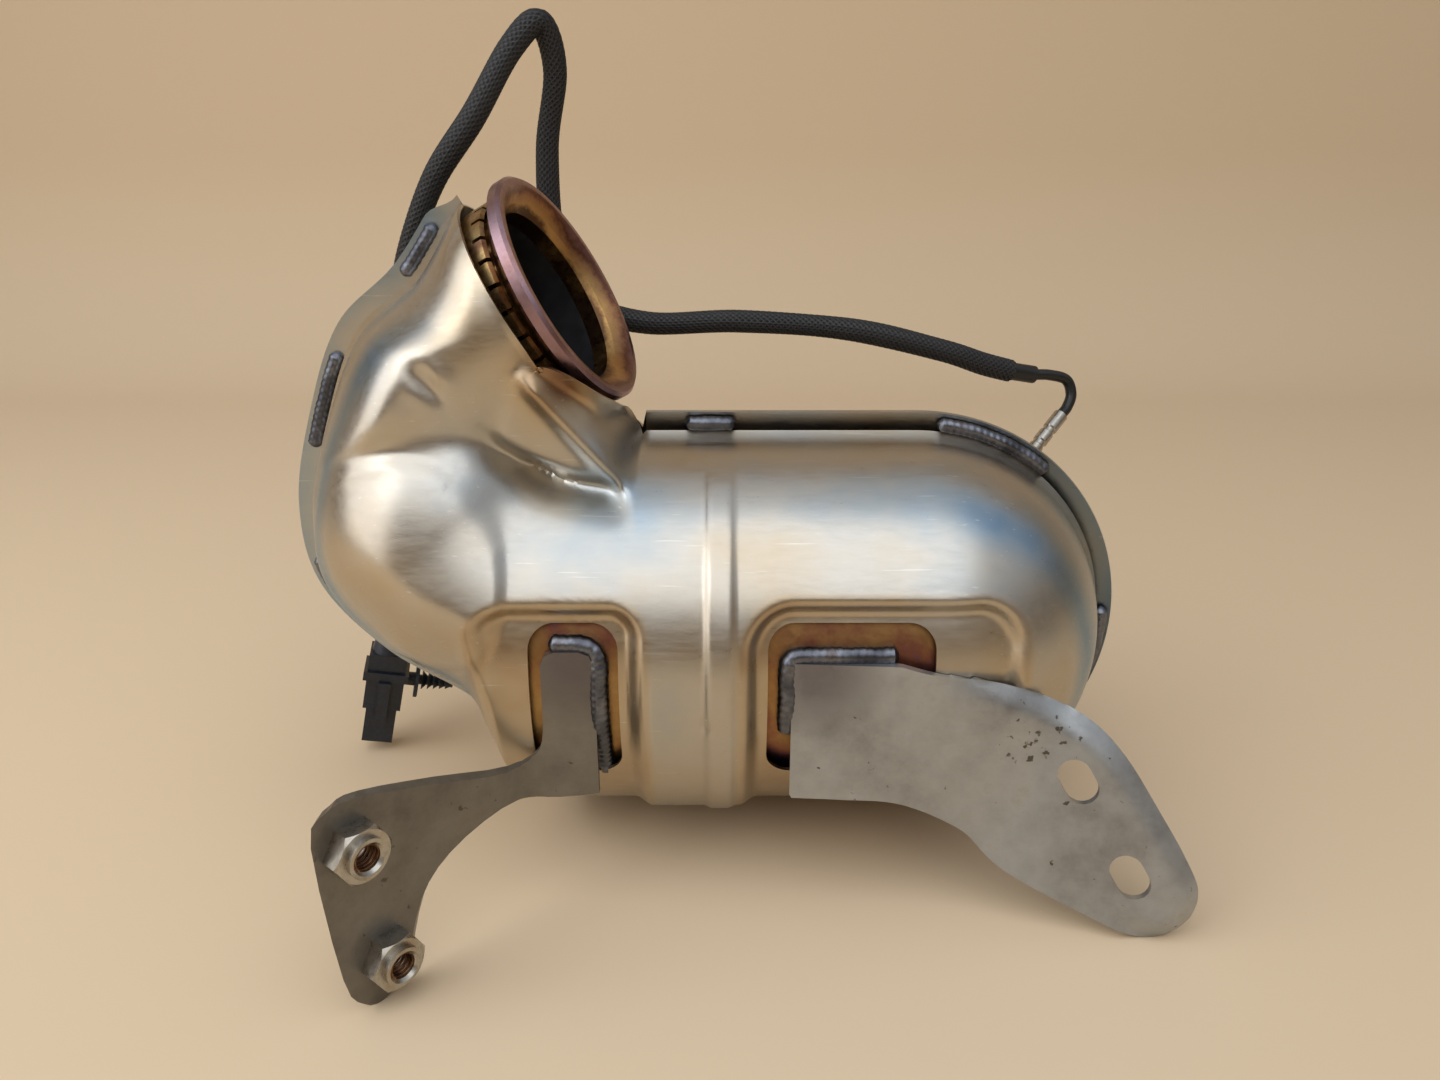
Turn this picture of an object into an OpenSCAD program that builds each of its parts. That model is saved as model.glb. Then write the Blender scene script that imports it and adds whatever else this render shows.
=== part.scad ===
// Close-coupled diesel particulate filter. A ceramic filter and an oxidation catalyst sit in a
// round canister, wrapped in a two-piece stamped heat shield with a clamp-flange inlet, a rear
// outlet, two welded brackets and an exhaust temperature sensor on a braided lead.
// Millimetres. X runs along the canister, Y points to the rear half, Z is up.

/* [Canister] */
// Outer radius of the canister tube
can_r = 63.4; // [58:0.1:68]
// Wall of the canister tube and of the hoods at its ends
can_wall = 1.5; // [1:0.1:2.5]
// Left end of the tube, measured left from the rib
can_left = 66; // [60:1:72]
// Right end of the tube, measured right from the rib
can_right = 72; // [64:1:80]
// Thickness of the mats that hold the ceramic bricks
mat_t = 2.7; // [2:0.1:5]
// Length of the oxidation catalyst brick
catalyst_len = 42; // [30:1:46]
// Length of the particulate filter brick
filter_len = 78; // [60:1:82]
// Space between the two bricks
brick_gap = 6; // [4:1:8]

/* [Heat shield] */
// Air gap between the canister and the outside of the shield
shield_gap = 8.6; // [7:0.1:12]
// Sheet thickness of the shield
shield_t = 1.2; // [0.8:0.1:1.6]
// Width of the front half's seam flange
front_flange = 3; // [2:0.5:5]
// Width of the rear half's seam flange
rear_flange = 10; // [8:0.5:12]
// Furthest point of the inlet chamber, measured left from the rib
chamber_reach = 150; // [145:1:156]
// Height of that point above the canister axis
chamber_z = 50; // [45:1:55]
// Depth of the inlet chamber in front of the seam
chamber_depth = 60; // [52:1:64]
// Width of the rib pressed round the shield
rib_w = 12; // [8:1:16]
// Height of that rib
rib_h = 2; // [1:0.5:3]
// Depth of the recess pressed round each bracket window
recess = 6.2; // [4:0.1:6.4]

/* [Inlet] */
// Centre of the inlet flange, measured left from the rib
inlet_x = 52; // [48:1:56]
// Centre of the inlet flange, above the canister axis
inlet_z = 127; // [123:1:131]
// Slope of the inlet axis above the horizontal
inlet_angle = 29; // [25:1:33]
// Turn of the inlet axis towards the front
inlet_tilt = 8; // [4:1:9]
// Outer radius of the clamp flange
clamp_r = 42.5; // [41:0.5:46]
// Bore radius of the inlet
inlet_bore_r = 32; // [28:0.5:32]
// Length of the clamp flange
clamp_len = 13; // [11:0.5:15]
// Radius of the shield's neck round the inlet
neck_r = 42; // [41:0.5:44]
// Crimped tabs round the collar
tab_count = 26; // [16:1:30]

/* [Outlet] */
// Centre of the outlet pipe, right from the dome's centre
outlet_x = 23; // [22.5:0.5:25]
// Start of the outlet axis below the canister axis
outlet_z = 20; // [16:1:22]
// Drop of the outlet axis below the horizontal
outlet_drop = 16; // [14:1:18]
// Bore radius of the outlet
outlet_bore_r = 20; // [17:0.5:20.5]
// Outer radius of the outlet's clamp flange
outlet_clamp_r = 31; // [28:0.5:34]

/* [Brackets] */
// Thickness of the bracket sheet
bracket_t = 3; // [2.5:0.1:3.6]
// Turn of the left bracket's foot from its welded tab
foot_turn = 50; // [47:1:53]
// Inner radius of that bend
foot_bend_r = 14; // [10:1:18]
// Distance between the weld nuts
nut_pitch = 44.5; // [40:0.5:48]
// Thread hole radius of the weld nuts
thread_r = 4.25; // [3.3:0.05:5]
// Width across flats of the weld nuts
nut_flats = 17; // [15:0.5:18]
// Height of the weld nuts
nut_h = 9; // [7:0.5:11]
// Width of the slots in the right bracket
slot_w = 11; // [9:0.5:12]
// Length of those slots
slot_len = 16; // [14:0.5:18]
// Distance between those slots
slot_pitch = 36.5; // [34:0.5:39]

/* [Sensor] */
// Width across flats of the sensor's nut
sensor_flats = 14; // [12:0.5:16]
// Radius of the sensor's crimped tube
sensor_tube_r = 3.1; // [2.8:0.1:3.5]
// Diameter of the braided sleeve
sleeve_d = 10; // [9:0.5:11]
// Diameter of the bare lead
lead_d = 4.6; // [4:0.1:5]
// Diameter of the shrink tube
shrink_d = 7.4; // [7:0.1:8]

/* [Hidden] */
$fn = 48;

// Clearance between pieces that sit next to each other
fit = 0.3;
shield_r = can_r + shield_gap;
dome_x = can_right;
// Level that the assembly rests on, below the canister axis
rest_z = -shield_r - rear_flange;

// Small maths
function mix(a, b, t) = a + (b - a) * t;
function ease(t) = let (u = min(1, max(0, t))) u * u * (3 - 2 * u);
function root(v) = sqrt(max(0, v));
function soft_max(a, b, k) = max(a, b) + pow(max(k - abs(a - b), 0), 2) / (4 * k);
function soft_min(a, b, k) = -soft_max(-a, -b, k);
function unit(v) = v / norm(v);
// Smooth curve through the points of a list, u counting points from 0
function curve(list, u) =
    let (end = len(list) - 1, i = min(floor(u), end - 1), t = u - i,
         a = list[max(i - 1, 0)], b = list[i], c = list[i + 1], d = list[min(i + 2, end)])
    b + t * (c - a) / 2 + t * t * (a - 2.5 * b + 2 * c - d / 2)
      + t * t * t * ((d - a) / 2 + 1.5 * (b - c));
function curve_points(list, steps) =
    let (n = (len(list) - 1) * steps) [for (k = [0:n]) curve(list, k / steps)];

// Turns Z to a direction
module aim(v) {
    rotate([0, acos(v[2] / norm(v)), atan2(v[1], v[0])]) children();
}
module rod(a, b, r) {
    translate(a) aim(b - a) cylinder(r = r, h = norm(b - a));
}
// The frame's origin is the centre of the mouth of the inlet's straight bore
lip_depth = 7;
module placed() {
    translate(-inlet_at(lip_depth)) children();
}

// Inlet axis in the seam plane, as [x, z]
inlet_c = [-inlet_x, inlet_z];
inlet_e = [cos(inlet_angle), sin(inlet_angle)];
inlet_q = [-sin(inlet_angle), cos(inlet_angle)];
neck_setback = 19;
// Room that the front half's lobe leaves round the inlet flange
neck_lobe = 3.2;
neck_c = inlet_c - neck_setback * inlet_e;
module on_inlet() {
    translate([-inlet_x, 0, inlet_z]) rotate([0, 90 - inlet_angle, 0]) rotate([inlet_tilt, 0, 0]) children();
}

// Foot of the shield's wall, from the neck's top round the chamber to the canister's left end
left_foot = [-66, -shield_r];
wall_line = [
    neck_c + neck_r * inlet_q, [-106, 129], [-127, 111], [-140, 84],
    [-chamber_reach, chamber_z], [-chamber_reach + 3, 19], [-125, -8], [-95, -28], [-78, -52], left_foot];
web_start = neck_c - neck_r * inlet_q;
web_end = [-28, shield_r];
// Free edge of the front half's web, from the neck's mouth round the inlet flange down to the top seam
web_line = [
    [-59, 106], [-59.3, 105.3], [-59.2, 104.7], [-54.5, 103.4], [-48, 99.5], [-41, 94], [-34, 86.5], [-29.5, 78],
    web_end];
// Place of the section where the web ends
web_place = 1.3;

// Openings of the shield: left, right, top and bottom edge, corner radius
left_window = [-64, -34, 25, -44, 9];
right_window = [16, dome_x, 25, -44, 9];
left_recess = [-84, -25, 33, -90, 12];
right_recess = [7, 103, 34, -90, 18];
recess_step = 7;
outlet_hole = [dome_x + outlet_x - 26, dome_x + outlet_x + 26, -11, -63, 26];
sensor_v = unit([0.63, 0.55, 0.55]);
sensor_seat = [dome_x + 70 * sensor_v[0], 70 * sensor_v[2]];
sensor_hole = [sensor_seat[0] - 12, sensor_seat[0] + 12, sensor_seat[1] + 12, sensor_seat[1] - 12, 12];

// Sections across the shield: a fan round the inlet chamber, then straight, then the round end.
// Each is [foot, head, middle, kind, place], kind 0 ending at the web, 1 at the top seam, 2 in the dome
function section(foot, place, front) =
    let (late = max(0, place - 1) / (web_place - 1),
         head = front ? curve(web_line, 3 * min(1, place) + 5 * pow(late, 1.6))
                      : mix(web_start, web_end, ease(place / web_place)))
    [foot, head, mix((foot + head) / 2, [foot[0], 20], ease((place - 0.8) * 5)), 0, place];
function sections(fan_n, xs, dome_n, front) = concat(
    [for (i = [0:fan_n]) let (u = i / fan_n) section(curve(wall_line, u * (len(wall_line) - 1)), u, front)],
    [for (x = xs) let (u = mix(1, web_place, (x - left_foot[0]) / (web_end[0] - left_foot[0])))
        u < web_place ? section([x, -shield_r], u, front)
      : [[x, -shield_r], [x, shield_r], [x, 0], 1, u]],
    [for (i = [1:dome_n]) let (b = 90 * (1 - i / dome_n), c = [dome_x, 0], w = shield_r * [cos(b), sin(b)])
        [c + [w[0], -w[1]], c + w, c, 2, 2]]);
function plan(s, j, half, flange) =
    let (t = (1 - cos(180 * (j - 1) / (2 * half - 2))) / 2)
    j == 0 ? s[0] + flange * mix(0.35, 1, ease(s[4] * 20)) * unit(s[0] - s[2])
  : j == 2 * half ? s[1] + (s[3] == 0 ? 2 : flange) * unit(s[1] - s[2])
  : s[3] == 2 ? (t < 0.5 ? mix(s[0], s[2], 2 * t) : mix(s[2], s[1], 2 * t - 1))
  : mix(s[0], s[1], t);

// Depth of the stamping in front of the seam, from the forms it wraps
function limb_depth(x, z) =
    root(pow(shield_r, 2) - z * z - pow(max(0, x - dome_x), 2) - pow(0.95 * max(0, -72 - x), 2));
function chamber_dome(x, z) =
    chamber_depth * root(1 - pow((x + 100) / 52, 2) - pow((z - chamber_z) / 62, 2));
function neck_depth(x, z) =
    let (v = [x, z] - inlet_c, a = v * inlet_e, b = v * inlet_q,
         lobe = ease((a + neck_setback) / 6) * ease((-b - 8) / 10),
         r = neck_r + 0.14 * max(0, -a - neck_setback) + neck_lobe * lobe)
    root(r * r - b * b - pow(max(0, -62 - a), 2));
function body_depth(x, z) =
    soft_max(soft_max(limb_depth(x, z), chamber_dome(x, z), 14), neck_depth(x, z), 12);
// Distance to the edge of a rounded opening, negative inside it
function edge_gap(w, x, z) =
    let (dx = abs(x - (w[0] + w[1]) / 2) - (w[1] - w[0]) / 2 + w[4],
         dz = abs(z - (w[2] + w[3]) / 2) - (w[2] - w[3]) / 2 + w[4])
    norm([max(dx, 0), max(dz, 0)]) + min(max(dx, dz), 0) - w[4];
function recess_share(w, x, z) = 1 - ease(edge_gap(w, x, z) / recess_step + 1);
function rib(x, z) = rib_h * (1 - ease((abs(x) / rib_w - 0.25) * 4)) * ease((shield_r - abs(z)) / 8);
// The front half's web: a flat panel, a ridge along it, and a swollen pad on the chamber beside it
ridge_from = [-64, 103];
ridge_to = [-32.5, 64];
ridge_h = 4;
ridge_w = 3.2;
panel_fall = 18;
pad = [-108, 38, 36.5, 39];
pad_h = 2.4;
pad_step = 6;
// Distance past the ridge on the inlet's side, and the share of the ridge's length
function ridge_gap(x, z) =
    let (run = ridge_to - ridge_from, v = [x, z] - ridge_from)
    [v * unit([-run[1], run[0]]), v * run / (run * run)];
function panel_depth(x, z) =
    let (g = ridge_gap(x, z), end = ease((g[1] + 0.15) * 6))
    (26 - 0.25 * x) * (1 - ease((g[0] - 1) / panel_fall)) * end - 8 * ease((g[1] - 0.95) * 5);
function ridge(x, z) =
    let (g = ridge_gap(x, z))
    ridge_h * exp(-pow(g[0] / ridge_w, 2)) * ease((g[1] + 0.03) * 9) * ease((1.06 - g[1]) * 8);
function pad_rise(x, z) =
    pad_h * ease((1 - norm([(x - pad[0]) / pad[2], (z - pad[1]) / pad[3]])) * pad[2] / pad_step + 0.5);
function pressed(x, z) =
    rib(x, z) + ridge(x, z) + pad_rise(x, z)
    - recess * max(recess_share(left_recess, x, z), recess_share(right_recess, x, z));
function depth(s, p, j, half, front) =
    let (x = p[0], z = p[1], in = norm(p - s[0]), out = norm(p - s[1]), extra = front ? pressed(x, z) : 0,
         side = sqrt(2 * mix(45, 160, ease((s[4] - 0.75) * 4)) * in),
         web = (10 + min(14, 0.3 * out)) * ease(s[4] * 6) * ease((web_place - s[4]) * 4),
         whole = soft_max(body_depth(x, z), web, 10))
    j < 2 || (j > 2 * half - 2 && s[3] > 0) ? 0
  : s[3] == 0 ? max(0, soft_min(front ? soft_max(whole, panel_depth(x, z), 3) : whole, side, 8) + extra)
  : max(0, body_depth(x, z) + extra);

// Moves a grid point next to the edge of an opening along its grid line onto that edge
function gap_all(holes, p) = len(holes) == 0 ? 1 : min([for (w = holes) edge_gap(w, p[0], p[1])]);
function snapped(f, gaps, i, j) =
    let (p = f[i][j], g = gaps[i][j],
         moves = [for (n = [[i - 1, j], [i + 1, j], [i, j - 1], [i, j + 1]])
            let (h = gaps[n[0]][n[1]]) if (g * h < 0 && abs(g) <= abs(h)) (f[n[0]][n[1]] - p) * g / (g - h)],
         least = len(moves) == 0 ? 0 : min([for (m = moves) norm(m)]))
    len(moves) == 0 ? p : p + [for (m = moves) if (norm(m) == least) m][0];

// Round tube along a route, or half of one with its flat on the seam
function tube_ring(route, u, r, sides, turn) =
    let (n = len(route) - 1, p = curve(route, u),
         t = unit(curve(route, min(n, u + 0.05)) - curve(route, max(0, u - 0.05))),
         a = unit(cross(t, abs(t[1]) < 0.9 ? [0, 1, 0] : [1, 0, 0])), b = cross(t, a),
         step = turn < 360 ? turn / (sides - 1) : turn / sides)
    [for (k = [0:sides - 1]) p + r * (cos(step * k) * a + sin(step * k) * b)];
module tube(route, r, steps, sides, turn = 360) {
    n = (len(route) - 1) * steps;
    rings = [for (k = [0:n]) each tube_ring(route, k / steps, r, sides, turn)];
    faces = concat(
        [[for (k = [0:sides - 1]) k]], [[for (k = [sides - 1:-1:0]) n * sides + k]],
        [for (i = [0:n - 1]) for (k = [0:sides - 1]) let (a = i * sides + k, b = i * sides + (k + 1) % sides)
            each [[a, a + sides, b], [b, a + sides, b + sides]]]);
    polyhedron(rings, faces, convexity = 10);
}

// Sheet solid over a grid of sections, folded onto itself where the round end closes
module half_shell(secs, half, dome_n, front, holes) {
    flange = front ? front_flange : rear_flange;
    sign = front ? -1 : 1;
    last = len(secs) - 1;
    dome_0 = last - dome_n;
    wide = 2 * half + 1;
    even = [for (s = secs) [for (j = [0:2 * half]) plan(s, j, half, flange)]];
    gaps = [for (r = even) [for (p = r) gap_all(holes, p)]];
    flat = [for (i = [0:last]) [for (j = [0:2 * half])
        j < 2 || j > 2 * half - 2 || i == 0 || i == last || (i > dome_0 && j == half) ? even[i][j]
      : snapped(even, gaps, i, j)]];
    outer = [for (i = [0:last]) [for (j = [0:2 * half]) let (p = flat[i][j])
        [p[0], sign * (shield_t + depth(secs[i], p, j, half, front)), p[1]]]];
    function at(i, j) =
        i > last ? outer[2 * last - i][2 * half - j] : outer[max(0, i)][min(2 * half, max(0, j))];
    function inward(i, j) =
        let (n = cross(at(i + 1, j) - at(i - 1, j), at(i, j + 1) - at(i, j - 1)), d = norm(n))
        j == 0 || (j == 2 * half && secs[i][3] > 0) || d < 0.001 ? [0, -sign, 0] : sign * n / d;
    inner = [for (i = [0:last]) [for (j = [0:2 * half]) outer[i][j] + shield_t * inward(i, j)]];
    points = concat([for (r = outer) each r], [for (r = inner) each r]);
    skin = (last + 1) * wide;
    function id(i, j) =
        i > dome_0 && j == half ? dome_0 * wide + half :
        i == last && j > half ? last * wide + 2 * half - j : i * wide + j;
    open = [for (i = [0:last - 1]) [for (j = [0:2 * half - 1])
        let (m = (flat[i][j] + flat[i + 1][j] + flat[i + 1][j + 1] + flat[i][j + 1]) / 4)
        len(holes) > 0 && gap_all(holes, m) < -0.3]];
    function cut(i, j) = i < 0 || j < 0 || i >= last || j >= 2 * half ? false : open[i][j];
    function quad(a, b, c, d, flip) = flip ? [[a, c, b], [a, d, c]] : [[a, b, c], [a, c, d]];
    function wall(a, b) = quad(a, a + skin, b + skin, b, !front);
    cells = [for (i = [0:last - 1]) for (j = [0:2 * half - 1]) if (!open[i][j])
        [id(i, j), id(i + 1, j), id(i + 1, j + 1), id(i, j + 1)]];
    rim = concat(
        [for (i = [0:last - 1]) [id(i, 0), id(i + 1, 0)]],
        [for (i = [0:last - 1]) [id(i + 1, 2 * half), id(i, 2 * half)]],
        [for (j = [0:2 * half - 1]) [id(0, j + 1), id(0, j)]],
        [for (i = [0:last - 1]) for (j = [0:2 * half - 1]) if (!open[i][j]) each concat(
            cut(i, j - 1) ? [[id(i, j), id(i + 1, j)]] : [],
            cut(i, j + 1) ? [[id(i + 1, j + 1), id(i, j + 1)]] : [],
            cut(i - 1, j) ? [[id(i, j + 1), id(i, j)]] : [],
            cut(i + 1, j) ? [[id(i + 1, j), id(i + 1, j + 1)]] : [])]);
    faces = concat(
        [for (c = cells) each quad(c[0], c[1], c[2], c[3], !front)],
        [for (c = cells) each quad(c[0] + skin, c[1] + skin, c[2] + skin, c[3] + skin, front)],
        [for (r = rim) each wall(r[0], r[1])]);
    polyhedron(points, [for (f = faces) if (f[0] != f[1] && f[1] != f[2] && f[0] != f[2]) f], convexity = 12);
}

module front_shield() {
    xs = [-62, -58, -54, -50, -46, -42, -38, -34, -31, -28, -24, -18, -rib_w, -rib_w * 0.72, -rib_w * 0.5, -rib_w * 0.25,
          0, rib_w * 0.25, rib_w * 0.5, rib_w * 0.72, 12, 16, 22, 32, 43, 54, 64, dome_x];
    color("silver") half_shell(sections(24, xs, 12, true), 11, 12, true, [left_window, right_window]);
}
module rear_shield() {
    xs = [-48, -34, -28, -14, 4, 22, 40, 56, dome_x];
    color("lightsteelblue") half_shell(sections(18, xs, 15, false), 9, 15, false, [outlet_hole, sensor_hole]);
}

// Canister and what it holds
brick_r = can_r - can_wall - mat_t;
brick_0 = (can_right - can_left - catalyst_len - brick_gap - filter_len) / 2;
module along_can(x, len, r) {
    translate([x, 0, 0]) rotate([0, 90, 0]) cylinder(r = r, h = len);
}
module canister() {
    color("rosybrown") difference() {
        along_can(-can_left, can_left + can_right, can_r);
        along_can(-can_left - 1, can_left + can_right + 2, can_r - can_wall);
    }
}
module catalyst_brick() {
    color("tan") along_can(brick_0, catalyst_len, brick_r);
}
module catalyst_mat() {
    color("white") difference() {
        along_can(brick_0, catalyst_len, brick_r + mat_t);
        along_can(brick_0 - 1, catalyst_len + 2, brick_r);
    }
}
module filter_brick() {
    color("dimgray") along_can(brick_0 + catalyst_len + brick_gap, filter_len, brick_r);
}
module filter_mat() {
    color("white") difference() {
        along_can(brick_0 + catalyst_len + brick_gap, filter_len, brick_r + mat_t);
        along_can(brick_0 + catalyst_len + brick_gap - 1, filter_len + 2, brick_r);
    }
}

// Inlet
pipe_r = inlet_bore_r + can_wall;
pipe_end = 27.5;
stub_r = (pipe_r + fit) / cos(9) + can_wall;
inlet_n = [cos(inlet_tilt) * inlet_e[0], -sin(inlet_tilt), cos(inlet_tilt) * inlet_e[1]];
function inlet_at(t) = [-inlet_x, 0, inlet_z] - t * inlet_n;
// Rings of the hood: centre, then the slope, half length, half depth and tilt of each ring
hood_rings = [
    [inlet_at(25.8), 90 + inlet_angle, stub_r, stub_r, inlet_tilt],
    [inlet_at(27.6), 90 + inlet_angle, stub_r, stub_r, inlet_tilt],
    [inlet_at(31), 93 + inlet_angle, 29.5, 32.5, inlet_tilt],
    [[-87, 3, 98], 126, 29, 32, 3], [[-96, 2, 89], 147, 31, 35, 0], [[-101, 2, 76], 170, 32, 38, 0],
    [[-104, 1, 61], 193, 34, 41, 0], [[-100, 1, 47], 211, 37, 44, 0], [[-91, 0, 35], 232, 37, 46, 0],
    [[-80, 0, 24], 252, 40, 48, 0], [[-72.5, 0, 9], 263, 52, 53, 0],
    [[-can_left, 0, 0], 270, can_r, can_r, 0]];
function hood_ring(u, in) =
    let (c = curve([for (r = hood_rings) r[0]], u),
         g = curve([for (r = hood_rings) [r[1], r[2], r[3], r[4]]], u),
         w = [sin(g[3]) * sin(g[0]), cos(g[3]), -sin(g[3]) * cos(g[0])])
    [for (k = [0:19])
        c + (g[1] - in) * cos(18 * k) * [cos(g[0]), 0, sin(g[0])] + (g[2] - in) * sin(18 * k) * w];
module inlet_hood() {
    n = 2 * (len(hood_rings) - 1);
    points = concat(
        [for (k = [0:n]) each hood_ring(k / 2, 0)],
        [for (k = [0:n]) each hood_ring(k / 2, can_wall)]);
    skin = 20 * (n + 1);
    function pair(a, b, c, d) = [[a, b, c], [a, c, d]];
    faces = [for (k = [0:19]) let (m = (k + 1) % 20) each concat(
        [for (i = [0:n - 1]) each pair(20 * i + k, 20 * i + m, 20 * i + 20 + m, 20 * i + 20 + k)],
        [for (i = [0:n - 1])
            let (s = skin + 20 * i)
            each pair(s + m, s + k, s + 20 + k, s + 20 + m)],
        pair(m, k, skin + k, skin + m), pair(20 * n + k, 20 * n + m, skin + 20 * n + m, skin + 20 * n + k))];
    color("peru") polyhedron(points, faces, convexity = 8);
}
module inlet_pipe() {
    color("peru") on_inlet() translate([0, 0, -pipe_end]) difference() {
        cylinder(r = pipe_r, h = pipe_end - clamp_len);
        translate([0, 0, -1]) cylinder(r = inlet_bore_r, h = pipe_end);
    }
}
module inlet_flange() {
    color("darkgoldenrod") on_inlet() rotate_extrude() polygon([
        [inlet_bore_r, -clamp_len], [pipe_r + 1, -clamp_len], [pipe_r + 1, -clamp_len + 3],
        [clamp_r - 1.5, -5.5], [clamp_r, -4.5], [clamp_r, -1.2], [clamp_r - 1.2, 0], [clamp_r - 3.6, 0],
        [inlet_bore_r + 2, -lip_depth + 2.5], [inlet_bore_r, -lip_depth]]);
}
module inlet_collar() {
    r = neck_r - 3.4;
    color("goldenrod") on_inlet() difference() {
        rotate_extrude() polygon([
            [pipe_r + fit, -25.5], [pipe_r + fit + 1.6, -25.5], [r - 0.8, -20],
            [r, -18.5], [r, -10.6], [r - 1.2, -9.6],
            [r - 1.2, -18], [r - 1.9, -19.4], [pipe_r + fit, -23.5]]);
        for (k = [1:tab_count]) rotate(360 * k / tab_count) translate([r - 5, -0.8, -14]) cube([10, 1.6, 10]);
    }
}

// Outlet
outlet_v = [0, cos(outlet_drop), -sin(outlet_drop)];
outlet_s = (-rest_z - outlet_z - outlet_clamp_r * cos(outlet_drop)) / sin(outlet_drop);
outlet_pipe_r = outlet_bore_r + can_wall;
module on_outlet(s) {
    translate([dome_x + outlet_x, 0, -outlet_z] + s * outlet_v) rotate([-90 - outlet_drop, 0, 0]) children();
}
module outlet_hood() {
    color("rosybrown") difference() {
        union() {
            translate([dome_x, 0, 0]) sphere(can_r);
            on_outlet(30) cylinder(r = outlet_pipe_r, h = outlet_s - 10 - 30);
        }
        translate([dome_x, 0, 0]) sphere(can_r - can_wall);
        on_outlet(30) cylinder(r = outlet_bore_r, h = outlet_s);
        translate([dome_x - 100, -100, -100]) cube([100, 200, 200]);
        rod([dome_x, 0, 0], [dome_x, 0, 0] + 90 * sensor_v, 2.6);
    }
}
module outlet_flange() {
    color("darkgoldenrod") on_outlet(outlet_s) rotate_extrude() polygon([
        [outlet_bore_r, -10], [outlet_pipe_r + 1, -10], [outlet_pipe_r + 1, -8], [outlet_clamp_r, -4],
        [outlet_clamp_r, -1], [outlet_clamp_r - 1, 0], [outlet_bore_r + 3, 0], [outlet_bore_r, -3]]);
}

// Left bracket: a tab on the canister, bent out to a foot with two weld nuts
tab_y = -can_r - fit;
foot_x = -59;
foot_e = [foot_x, tab_y - bracket_t - foot_bend_r]
    + foot_bend_r * [cos(90 + foot_turn), sin(90 + foot_turn)];
foot_dir = [-sin(90 + foot_turn), cos(90 + foot_turn)];
foot_outline = [[-60, 0], [-60.3, -14], [-63, -22], [-72, -25], [-91, -15], [-108, -7], [-114, -7.5],
    [-117.5, -16], [-115, -66], [-111.5, -79], [-107, rest_z],
    [-101.5, -76], [-96, -54], [-88, -43], [-74, -37.5],
    [-60, -39.5], [-50, -39]];
module upright(outline) {
    rotate([90, 0, 0]) linear_extrude(300, center = true) polygon(outline);
}
module foot_profile() {
    c = [foot_x, tab_y - bracket_t - foot_bend_r];
    function round_off(r) =
        [for (k = [0:8]) c + r * [cos(90 + foot_turn * k / 8), sin(90 + foot_turn * k / 8)]];
    inner = round_off(foot_bend_r);
    outer = round_off(foot_bend_r + bracket_t);
    polygon(concat([[-40, tab_y - bracket_t]], inner, [inner[8] + 90 * foot_dir, outer[8] + 90 * foot_dir],
        [for (k = [8:-1:0]) outer[k]], [[-40, tab_y]]));
}
nut_a = atan2(44, 7);
nut_mid = [58.2, -44.6];
function nut_at(side) = nut_mid + side * nut_pitch / 2 * [cos(nut_a), sin(nut_a)];
module on_foot(at) {
    translate([foot_e[0] + at[0] * foot_dir[0], foot_e[1] + at[0] * foot_dir[1], at[1]])
        rotate([0, 0, foot_turn]) rotate([90, 0, 0]) children();
}
module left_bracket() {
    color("gray") difference() {
        intersection() {
            translate([0, 0, -150]) linear_extrude(300) foot_profile();
            upright(concat([[-47, 16], [-55, 16], [-58.5, 14.6], [-60, 11]], curve_points(foot_outline, 3),
                [[-42, -38], [-42, 11], [-43.5, 14.6]]));
        }
        for (side = [-1, 1]) on_foot(nut_at(side)) translate([0, 0, -10]) cylinder(r = thread_r + 1.2, h = 20);
    }
}
module weld_nuts() {
    color("slategray") for (side = [-1, 1]) on_foot(nut_at(side)) difference() {
        union() {
            intersection() {
                cylinder(d = nut_flats / cos(30), h = nut_h - 2, $fn = 6);
                cylinder(r1 = nut_flats / 2 + 7, r2 = nut_flats / 2, h = nut_h - 2);
            }
            cylinder(r = thread_r + 2.2, h = nut_h);
        }
        translate([0, 0, -1]) cylinder(r = thread_r, h = nut_h + 2);
        translate([0, 0, nut_h - 1]) cylinder(r1 = thread_r, r2 = thread_r + 1, h = 1.01);
    }
}

// Right bracket: a leaning plate with two slots, its outer edge turned back
plate_turn = 16;
plate_c = [101, -30];
plate_outline = [[60, 12], [72, 9], [92, 6], [112, -1], [126, -8.5], [137, -20], [148, -37], [157, -52],
    [162, -64], [159, -75], [149, rest_z], [134, -78], [98, -62], [83, -49], [62, -40], [40, -39]];
function plate_slope(s) = 4 + 10 * ease((s + 8) / 16);
plate_s = [-90, -8, -4, 0, 4, 8, 75];
plate_y = [for (k = [0:6])
    k == 0 ? 0 : -tan(plate_slope(k == 6 ? 8 : plate_s[k] - 2)) * (plate_s[k] - plate_s[k - 1])];
function plate_sum(k) = k == 0 ? 0 : plate_y[k] + plate_sum(k - 1);
module plate_form(thick) {
    line = [for (k = [0:6]) [plate_s[k], plate_sum(k)]];
    translate([plate_c[0], tab_y, plate_c[1]]) rotate([0, plate_turn, 0])
        translate([0, 0, -130]) linear_extrude(260)
        polygon(concat([for (p = line) p + [0, -bracket_t]], [for (k = [6:-1:0]) line[k] + [0, thick]]));
}
slot_mid = [129.5, -43];
slot_a = -60;
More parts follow.
